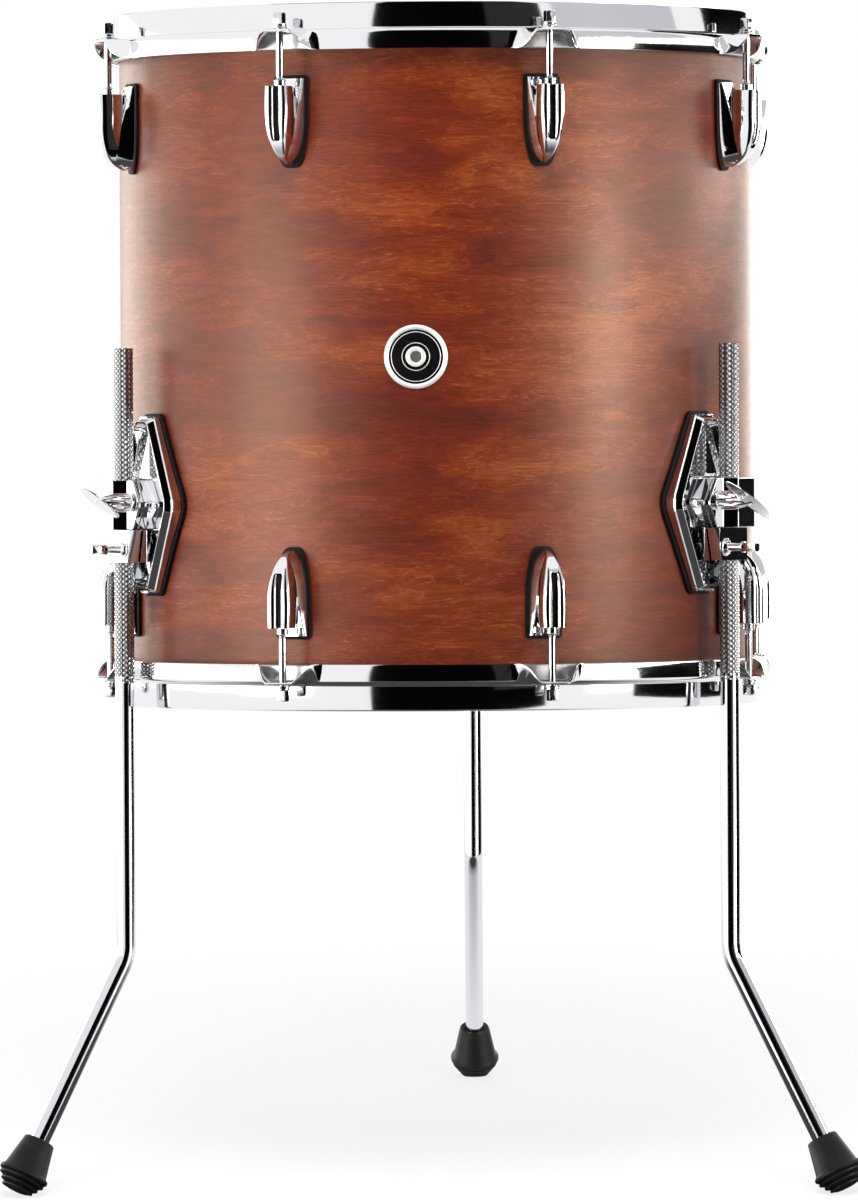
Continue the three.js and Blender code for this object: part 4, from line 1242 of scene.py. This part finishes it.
def made_lock(side):
    """A split collar round the leg with its key bolt through both halves."""
    hand = LEGS[side]["hand"]
    back, front = SHELL_RADIUS + LOCK_BACK, SHELL_RADIUS + LOCK_FRONT
    near, far, corner = LOCK_NEAR, LOCK_FAR, LOCK_CORNER
    plan = [(near + 1, back), (far - 2, back), (far, back + 2), (far, front - corner), (far - corner, front)]
    plan += [(near + corner, front), (near, front - corner), (near, back + 1)]
    bottom = LOCK_TOP - LOCK_HEIGHT
    body = prism("lock", [(hand * x, y) for x, y in plan], bottom, LOCK_TOP)
    taper = [(near + 1.5, LOCK_TOP + 1), (far + 0.5, LOCK_TOP + 1), (far, LOCK_TOP - 8)]
    taper = [(hand * x, z) for x, z in taper + [(far - 3, bottom - 1), (near + 6.5, bottom - 1)]]
    sides = off_shell("sides", (LOCK_BACK - 1, taper), (LOCK_FRONT + 1, taper))
    start, stop = sorted((hand * (near - 2), hand * LEG_OFFSET))
    low, high = [SHELL_RADIUS + LEG_STANDOFF + way * LOCK_SLIT / 2 for way in (-1, 1)]
    slit = prism("slit", [(start, low), (stop, low), (stop, high), (start, high)], bottom - 2, LOCK_TOP + 2)
    combined(body, ("INTERSECT", sides), ("DIFFERENCE", leg_bore(hand)), ("DIFFERENCE", slit))
    flat_faced(bevelled(cleaned(body), 0.7, 30))
    seat, boss, collar = LOCK_FRONT, LOCK_BOSS_RADIUS, LOCK_COLLAR_RADIUS
    head = LOCK_BOLT_END - LOCK_HEAD_LENGTH
    neck = LOCK_BOLT_RADIUS - 0.5
    profile = [(0, LOCK_BACK + 1), (neck, LOCK_BACK + 1), (neck, seat - 1), (boss + 1, seat - 1)]
    profile += [(boss + 1, seat + 0.3), (boss + 0.6, seat + 0.7), (boss + 0.1, seat + 0.3)]
    profile += arc((0, seat - 0.6), boss, 8, 56, 8) + [(neck, head - 2.6)]
    profile += [(collar - 0.3, head - 2.6), (collar, head - 2.3), (collar, head - 1.2), (collar - 0.8, head)]
    bolt = smoothed(lathe("bolt", profile + [(0, head)], 40), 35)
    key = square_head(LOCK_HEAD_WIDTH, head - 1, LOCK_BOLT_END, crown=4.4, fall=1.2, top=3.0)
    for part in (bolt, key):
        part.data.transform(shifted(hand * BOLT_OFFSET, SHELL_RADIUS, LOCK_BOLT_HEIGHT) @ ALONG_Y)
    lock = joined(f"memory_lock_collar_{side}", body, bolt, key, place=bracket_place(side))
    dressed(lock, CAST_CHROME, f"memory_lock_{side}", "lock_chrome", f"memory_lock_{side}")


# Legs and feet


def rule_tree(name, **inputs):
    """A Geometry Nodes tree with these inputs and a geometry output: returns it and its inputs' sockets."""
    tree = bpy.data.node_groups.new(name, "GeometryNodeTree")
    for key, kind in inputs.items():
        tree.interface.new_socket(key, in_out="INPUT", socket_type=f"NodeSocket{kind}")
    tree.interface.new_socket("Geometry", in_out="OUTPUT", socket_type="NodeSocketGeometry")
    return tree, add(tree, "NodeGroupInput").outputs


def ended(tree, geometry, finish):
    """Ends a Geometry Nodes tree: what it makes becomes real and gets its finish."""
    real = add(tree, "GeometryNodeRealizeInstances", {"Geometry": geometry})
    painted = add(tree, "GeometryNodeSetMaterial", {"Geometry": real, "Material": finish})
    add(tree, "NodeGroupOutput", {0: painted})
    return tree


def knurl_tree():
    """Geometry Nodes: a tube whose net of points is pressed in at every second one, which leaves teeth.

    A real knurl is nearer 1.2 mm from tooth to tooth: this one is drawn coarser so that it shows.
    """
    tree, given = rule_tree("diamond_knurl", Radius="Float", Length="Float", Pitch="Float", Depth="Float",
                            Finish="Material")
    spot = add(tree, "ShaderNodeSeparateXYZ", {0: add(tree, "GeometryNodeInputPosition")}).outputs
    known = {name: given[name] for name in ("Radius", "Length", "Pitch", "Depth")}
    known.update({name: spot[name] for name in "XYZ"})
    # Each row makes a value from two: the number of teeth round and along, then how deep a point lies
    for name, operation, first, second in (
            ("girth", "MULTIPLY", "Radius", 2 * pi),
            ("teeth", "DIVIDE", "girth", "Pitch"),
            ("teeth", "ROUND", "teeth", 0.0),
            ("rows", "DIVIDE", "Length", "Pitch"),
            ("rows", "ROUND", "rows", 0.0),
            ("corners", "MULTIPLY", "teeth", 2.0),
            ("steps", "MULTIPLY", "rows", 2.0),
            ("turn", "ARCTAN2", "Y", "X"),
            ("turn", "DIVIDE", "turn", 2 * pi),
            ("turn", "MULTIPLY", "turn", "teeth"),
            ("climb", "DIVIDE", "Z", "Length"),
            ("climb", "ADD", "climb", 0.5),
            ("climb", "MULTIPLY", "climb", "rows"),
            ("phase", "ADD", "turn", "climb"),
            ("groove", "PINGPONG", "phase", 0.5),
            ("groove", "MULTIPLY", "groove", 2.0),
            ("inwards", "MULTIPLY", "Depth", -1.0),
            ("press", "MULTIPLY", "groove", "inwards")):
        inputs = {0: known[first], 1: known.get(second, second)}
        known[name] = add(tree, "ShaderNodeMath", inputs, operation=operation)
    inputs = {"Vertices": known["corners"], "Side Segments": known["steps"]}
    inputs |= {"Radius": given["Radius"], "Depth": given["Length"]}
    tube = add(tree, "GeometryNodeMeshCylinder", inputs, fill_type="NGON")
    # The depth stored as groove is what the finish reads to paint shade down in the grooves
    inputs = {"Geometry": tube, "Name": "groove", "Value": known["groove"]}
    marked = add(tree, "GeometryNodeStoreNamedAttribute", inputs, data_type="FLOAT", domain="POINT")
    flat = add(tree, "ShaderNodeCombineXYZ", {"X": spot["X"], "Y": spot["Y"]})
    away = add(tree, "ShaderNodeVectorMath", {0: flat}, operation="NORMALIZE")
    offset = add(tree, "ShaderNodeVectorMath", {0: away, "Scale": known["press"]}, operation="SCALE")
    pressed = add(tree, "GeometryNodeSetPosition", {"Geometry": marked, "Offset": offset})
    cut = add(tree, "GeometryNodeTriangulate", {"Mesh": pressed}, quad_method="SHORTEST_DIAGONAL")
    return ended(tree, cut, given["Finish"])


def from_tree(name, tree, points=((0, 0, 0),), **values):
    """The plain mesh that a Geometry Nodes tree makes of some points with these inputs."""
    seed = mesh_piece(name, points, [])
    change = seed.modifiers.new("rule", "NODES")
    change.node_group = tree
    for socket in tree.interface.items_tree:
        if socket.item_type == "SOCKET" and socket.in_out == "INPUT" and socket.name in values:
            change[socket.identifier] = values[socket.name]
    seed.update_tag()
    bpy.context.view_layer.update()
    return applied(seed)


def swept_tube(name, path, radius, sides):
    """A round tube along a path in the (y, z) plane, closed at both ends."""
    sections = []
    for (y, z), before, after in zip(path, path[:1] + path, path[1:] + path[-1:]):
        run = Vector((after[0] - before[0], after[1] - before[1])).normalized()
        spots = [(radius * cos(turn), radius * sin(turn)) for turn in full_turn(sides)]
        sections.append([(x, y + out * -run.y, z + out * run.x) for x, out in spots])
    return loft(name, sections)


def made_leg(side, knurl):
    """A steel leg: knurled above, smooth below, bent outwards once."""
    place = leg_place(side)
    length = LEG_TOP - KNURL_END
    grip = from_tree(f"leg_knurl_{side}", knurl, Radius=KNURL_RADIUS * MM, Length=length * MM,
                     Pitch=KNURL_PITCH * MM, Depth=KNURL_DEPTH * MM, Finish=KNURLED_CHROME)
    grip.data.transform(place @ shifted(0, 0, (LEG_TOP + KNURL_END) / 2))
    dressed(smoothed(grip, 5), None, f"leg_{side}", "leg_chrome", f"leg_{side}")
    tangent = BEND_RADIUS * tan(SPLAY / 2)
    path = [(0, KNURL_END + 4), (0, KNURL_END - 40), (0, BEND_DROP + tangent)]
    steps = 14
    for i in range(1, steps + 1):
        turn = SPLAY * i / steps
        path.append((BEND_RADIUS * (1 - cos(turn)), BEND_DROP + tangent - BEND_RADIUS * sin(turn)))
    run = SPLAY_LENGTH - tangent - FOOT_LENGTH + FOOT_BORE
    y, z = path[-1]
    path.append((y + run * sin(SPLAY), z - run * cos(SPLAY)))
    tube = swept_tube(f"leg_tube_{side}", path, TUBE_RADIUS, 48)
    tube.data.transform(place)
    dressed(smoothed(tube, 35), LEG_CHROME, f"leg_{side}", "leg_chrome")


def made_foot(side):
    """A rubber foot: a cone, a flange and a ribbed toe, worn flat where it stands."""
    top, toe, length = FOOT_TOP_RADIUS, FOOT_TOE_RADIUS, FOOT_LENGTH
    flange, drop = FOOT_FLANGE_RADIUS, FOOT_FLANGE_DROP
    flange_end = drop + FOOT_FLANGE_EDGE
    bore, depth = TUBE_RADIUS + CLEARANCE, FOOT_BORE + CLEARANCE
    profile = [(0, depth), (bore, depth), (bore, 0.6), (bore + 0.6, 0), (top - 0.8, 0), (top, 0.8)]
    profile += [(flange - FOOT_RIB_DEPTH - 1.2, drop - 1.5), (flange - 0.4, drop), (flange, drop + 0.5)]
    profile += [(flange, flange_end - 0.5), (flange - 0.6, flange_end)]
    pitch = (length - flange_end) / FOOT_RIBS
    for rib in range(FOOT_RIBS):
        radius = flange + (toe - flange) * ((rib + 0.5) / FOOT_RIBS)
        low = flange_end + rib * pitch
        profile += [(radius - FOOT_RIB_DEPTH, low + 0.25 * pitch), (radius, low + 0.45 * pitch)]
        profile += [(radius - 0.1, low + 0.8 * pitch)]
    profile += [(toe - 1.4, length - 0.4), (toe - 2.2, length), (0, length)]
    down = shifted(0, 0, BEND_DROP) @ Matrix.Rotation(SPLAY, 4, "X") @ shifted(0, 0, length - SPLAY_LENGTH)
    foot = lathe(f"foot_rubber_{side}", [(r, -z) for r, z in profile], 64, leg_place(side) @ down)
    work = bmesh.new()
    work.from_mesh(foot.data)
    whole = work.verts[:] + work.edges[:] + work.faces[:]
    cut = bmesh.ops.bisect_plane(work, geom=whole, plane_co=(0, 0, 0), plane_no=(0, 0, 1), clear_inner=True)
    rim = [part for part in cut["geom_cut"] if isinstance(part, bmesh.types.BMEdge)]
    bmesh.ops.contextual_create(work, geom=rim)
    bmesh.ops.recalc_face_normals(work, faces=work.faces)
    work.to_mesh(foot.data)
    work.free()
    dressed(smoothed(foot, 40), RUBBER, f"leg_{side}", "foot_rubber", f"foot_{side}")


def screw_tree():
    """Geometry Nodes: a hexagon-headed screw with its washer at every point, facing the drum's axis."""
    tree, given = rule_tree("inner_screws", Points="Geometry", Head="Float", Finish="Material")
    cones = []
    # The washer, then the head: its corners, and its sizes as shares of the head's radius
    for corners, top, bottom, depth in ((32, 1.38, 1.45, 0.25), (6, 0.96, 1.0, 0.85)):
        inputs = {"Vertices": corners}
        for key, share in (("Radius Top", top), ("Radius Bottom", bottom), ("Depth", depth)):
            inputs[key] = add(tree, "ShaderNodeMath", {0: given["Head"], 1: share}, operation="MULTIPLY")
        cones.append(add(tree, "GeometryNodeMeshCone", inputs).outputs["Mesh"])
    screw = add(tree, "GeometryNodeJoinGeometry")
    for cone in cones:
        tree.links.new(cone, screw.inputs[0])
    spot = add(tree, "GeometryNodeInputPosition")
    inwards = add(tree, "ShaderNodeVectorMath", {0: spot, 1: (-1, -1, 0)}, operation="MULTIPLY")
    turn = add(tree, "FunctionNodeAlignRotationToVector", {"Vector": inwards}, axis="Z")
    inputs = {"Points": given["Points"], "Instance": screw, "Rotation": turn}
    return ended(tree, add(tree, "GeometryNodeInstanceOnPoints", inputs), given["Finish"])


def made_screws():
    """The screws inside the shell: two to a lug, four to a bracket."""
    radius = SHELL_RADIUS - SHELL_WALL + 0.1
    spots = []
    for angle in EAR_ANGLES:
        for height in (LUG_CENTRE - LUG_SCREWS / 2, LUG_CENTRE + LUG_SCREWS / 2):
            spots += [(angle, height), (angle, -height)]
    for leg in LEGS.values():
        for aside in (-BRACKET_SCREWS / 2, BRACKET_SCREWS / 2):
            for height in (-BRACKET_SCREWS, BRACKET_SCREWS):
                spots.append((leg["angle"] + aside / radius, height - BRACKET_DROP))
    points = [(radius * sin(turn), -radius * cos(turn), height) for turn, height in spots]
    screws = from_tree("inner_screws", screw_tree(), points, Head=SCREW_HEAD * MM, Finish=ZINC)
    screws.data.transform(DRUM)
    dressed(smoothed(screws, 35), None, "drum", "bracket_chrome")


made_screws()
knurl_rule = knurl_tree()
for side in LEGS:
    made_bracket_gasket(side)
    made_bracket(side)
    made_jaw(side)
    made_wing_bolt(side)
    made_lock(side)
    made_leg(side, knurl_rule)
    made_foot(side)


# The stage


def paper_floor(tree):
    """White paper that takes the object's soft shadow. Chrome sees it as dark in front of the object."""
    spot = add(tree, "ShaderNodeTexCoord").outputs["Object"]
    ray = add(tree, "ShaderNodeLightPath").outputs
    reach = add(tree, "ShaderNodeVectorMath", {0: spot}, operation="LENGTH")
    inputs = {"Value": reach, "From Min": 0.4, "From Max": 1.0, "To Min": 0.8, "To Max": 1.0}
    cover = add(tree, "ShaderNodeMapRange", inputs, interpolation_type="SMOOTHSTEP")
    share = add(tree, "ShaderNodeMath", {0: cover, 1: ray["Is Camera Ray"]}, operation="MULTIPLY")
    paper = add(tree, "ShaderNodeBsdfDiffuse", {"Color": linear("#f4f4f4")})
    white = add(tree, "ShaderNodeEmission", {"Color": linear("#ffffff"), "Strength": 1.0})
    seen = add(tree, "ShaderNodeMixShader", {0: share, 1: paper, 2: white})
    ahead = add(tree, "ShaderNodeVectorMath", {0: spot, 1: (0, -0.5, 0)}, operation="DISTANCE")
    inputs = {"Value": ahead, "From Min": 0.4, "From Max": 0.7, "To Min": 0.06}
    strength = add(tree, "ShaderNodeMapRange", inputs)
    mirrored = add(tree, "ShaderNodeEmission", {"Color": linear("#ffffff"), "Strength": strength})
    return add(tree, "ShaderNodeMixShader", {0: ray["Is Glossy Ray"], 1: seen, 2: mirrored})


def studio_card(tree, shade, strength=1.0):
    """A studio card as a plain tone: dark for chrome's dark bands, or lit for the lacquer's sheen."""
    return add(tree, "ShaderNodeEmission", {"Color": linear(shade), "Strength": strength})


def round_the_drum(azimuth, distance, height=0.0):
    """A point at an angle from the badge's side of the drum, positive towards +X, in metres."""
    turn = radians(azimuth)
    return Vector((distance * sin(turn), -distance * cos(turn), height))


def upright_card(name, left, right, low, high, finish):
    """A card standing between two points of the floor plan, seen only in reflections."""
    spots = ((left, low), (right, low), (right, high), (left, high))
    corners = [(spot[0] / MM, spot[1] / MM, height / MM) for spot, height in spots]
    card = mesh_piece(name, corners, [(0, 1, 2, 3)])
    card.data.materials.append(finish)
    card.visible_camera = False
    card.visible_diffuse = False
    card.visible_shadow = False


def made_stage():
    """A wide pale floor, and the cards round it: dark ones near, and lit ones behind and between them."""
    size = 12000
    corners = [(-size, -size, 0), (size, -size, 0), (size, size, 0), (-size, size, 0)]
    floor = mesh_piece("floor", corners, [(0, 1, 2, 3)])
    floor.data.materials.append(material("white_paper", paper_floor))
    black = material("black_card", studio_card, "#050505")
    dim = material("dark_grey_card", studio_card, "#2e2c2c")
    grey = material("grey_card", studio_card, "#cdcdd1")
    # Straight across the front, from x to x in metres
    for name, start, end, low, high, finish in (
            ("front_card", -0.31, 0.38, CARD_FOOT, CARD_TOP, black),
            ("front_grey_card", 0.38, 0.87, 0.24, CARD_TOP, dim),
            ("low_front_card", 0.38, 0.78, CARD_FOOT, 0.24, black)):
        upright_card(name, (start, -FRONT_CARDS), (end, -FRONT_CARDS), low, high, finish)
    # Beside and behind the drum, from azimuth to azimuth
    for name, start, end, low, high, finish in (
            ("side_card", 112, 150, 0.71, CARD_TOP, black),
            ("low_side_card", 72, 135, CARD_FOOT, 0.6, black),
            ("grey_card", 46, 96, 0.8, CARD_TOP, grey),
            ("back_card", 176, 196, CARD_FOOT, CARD_TOP, black)):
        left, right = [round_the_drum(azimuth, SIDE_CARDS) for azimuth in (start, end)]
        upright_card(name, left, right, low, high, finish)
    # Lit ones: from azimuth to azimuth, distance, from height to height, and strength
    for start, end, distance, low, high, strength in (
            (-68, -40, FAR_CARDS, CARD_FOOT, 0.6, 8.5),
            (-68, -40, FAR_CARDS, 0.6, 0.86, 12.0),
            (-92, -68, FAR_CARDS, CARD_FOOT, 0.86, 2.6),
            (-118, -92, FAR_CARDS, CARD_FOOT, 0.86, 2.7),
            (-150, -118, FAR_CARDS, CARD_FOOT, 0.86, 4.6),
            (56, 71, NEAR_CARDS, 0.6, 0.79, 27.0),
            (56, 71, NEAR_CARDS, 0.4, 0.6, 11.0),
            (56, 72, FAR_CARDS, CARD_FOOT, 2.4, 7.0),
            (71, 104, NEAR_CARDS, 0.62, 0.76, 7.0),
            (104, 135, NEAR_CARDS, 0.62, 0.7, 15.0),
            (100, 156, FAR_CARDS, CARD_FOOT, 0.8, 2.2),
            (156, 172, FAR_CARDS, CARD_FOOT, 2.4, 5.0)):
        left, right = [round_the_drum(azimuth, distance) for azimuth in (start, end)]
        glow = material("lit_card", studio_card, "#fff6ec", strength)
        upright_card("lit_card", left, right, low, high, glow)


def softbox(name, place, width, height, power):
    """A soft rectangular lamp that faces the drum. Reflections don't see it."""
    lamp = bpy.data.lights.new(name, "AREA")
    lamp.shape = "RECTANGLE"
    lamp.size = width
    lamp.size_y = height
    lamp.energy = power
    made = bpy.data.objects.new(name, lamp)
    made.visible_camera = False
    made.visible_glossy = False
    made.location = place
    made.rotation_mode = "QUATERNION"
    made.rotation_quaternion = (Vector(LIT_SPOT) - Vector(place)).to_track_quat("-Z", "Y")
    bpy.context.scene.collection.objects.link(made)


def lit_scene():
    """A large softbox high in front, fainter ones at the sides, above and behind, and an even white room."""
    # Place, width and height in metres, and power in watts
    for name, place, width, height, power in (
            ("left_softbox", round_the_drum(-54, 2.2, 0.9), 0.9, 1.8, 14),
            ("right_softbox", round_the_drum(67, 2.2, 0.9), 0.5, 1.8, 14),
            ("key_softbox", (0, -1.25, 2.5), 1.2, 1.0, 56),
            ("top_softbox", (0, 0.3, 2.6), 2.0, 2.0, 18),
            ("back_softbox", (0, 2.4, 1.2), 2.2, 1.4, 26)):
        softbox(name, place, width, height, power)
    world = bpy.data.worlds.new("studio")
    bpy.context.scene.world = world
    world.use_nodes = True
    tree = world.node_tree
    tree.nodes.clear()
    ray = add(tree, "ShaderNodeLightPath").outputs
    clear = ray["Is Camera Ray"]
    for kind in ("Is Glossy Ray", "Is Transmission Ray"):
        clear = add(tree, "ShaderNodeMath", {0: clear, 1: ray[kind]}, operation="MAXIMUM")
    strength = add(tree, "ShaderNodeMapRange", {"Value": clear, "To Min": 0.15, "To Max": 1.0})
    sky = add(tree, "ShaderNodeBackground", {"Color": linear("#ffffff"), "Strength": strength})
    add(tree, "ShaderNodeOutputWorld", {"Surface": sky})


def placed_camera():
    """The photograph's viewpoint, as a long lens from just right of the badge and a little above."""
    camera = bpy.data.cameras.new("camera")
    camera.sensor_width = SENSOR
    camera.lens = SENSOR * FOCAL_PIXELS / PICTURE_HEIGHT
    camera.clip_start = 0.1
    camera.clip_end = 100
    made = bpy.data.objects.new("camera", camera)
    bpy.context.scene.collection.objects.link(made)
    turned = Matrix.Identity(4)
    for angle, axis in ((CAMERA_YAW, "Z"), (CAMERA_PITCH, "X"), (CAMERA_ROLL, "Y"), (pi / 2, "X")):
        turned = turned @ Matrix.Rotation(angle, 4, axis)
    made.matrix_world = Matrix.Translation(DRUM.translation + Vector(CAMERA_SPOT)) @ turned
    bpy.context.scene.camera = made


placed_camera()
made_stage()
lit_scene()
bpy.context.scene.view_settings.view_transform = "Standard"
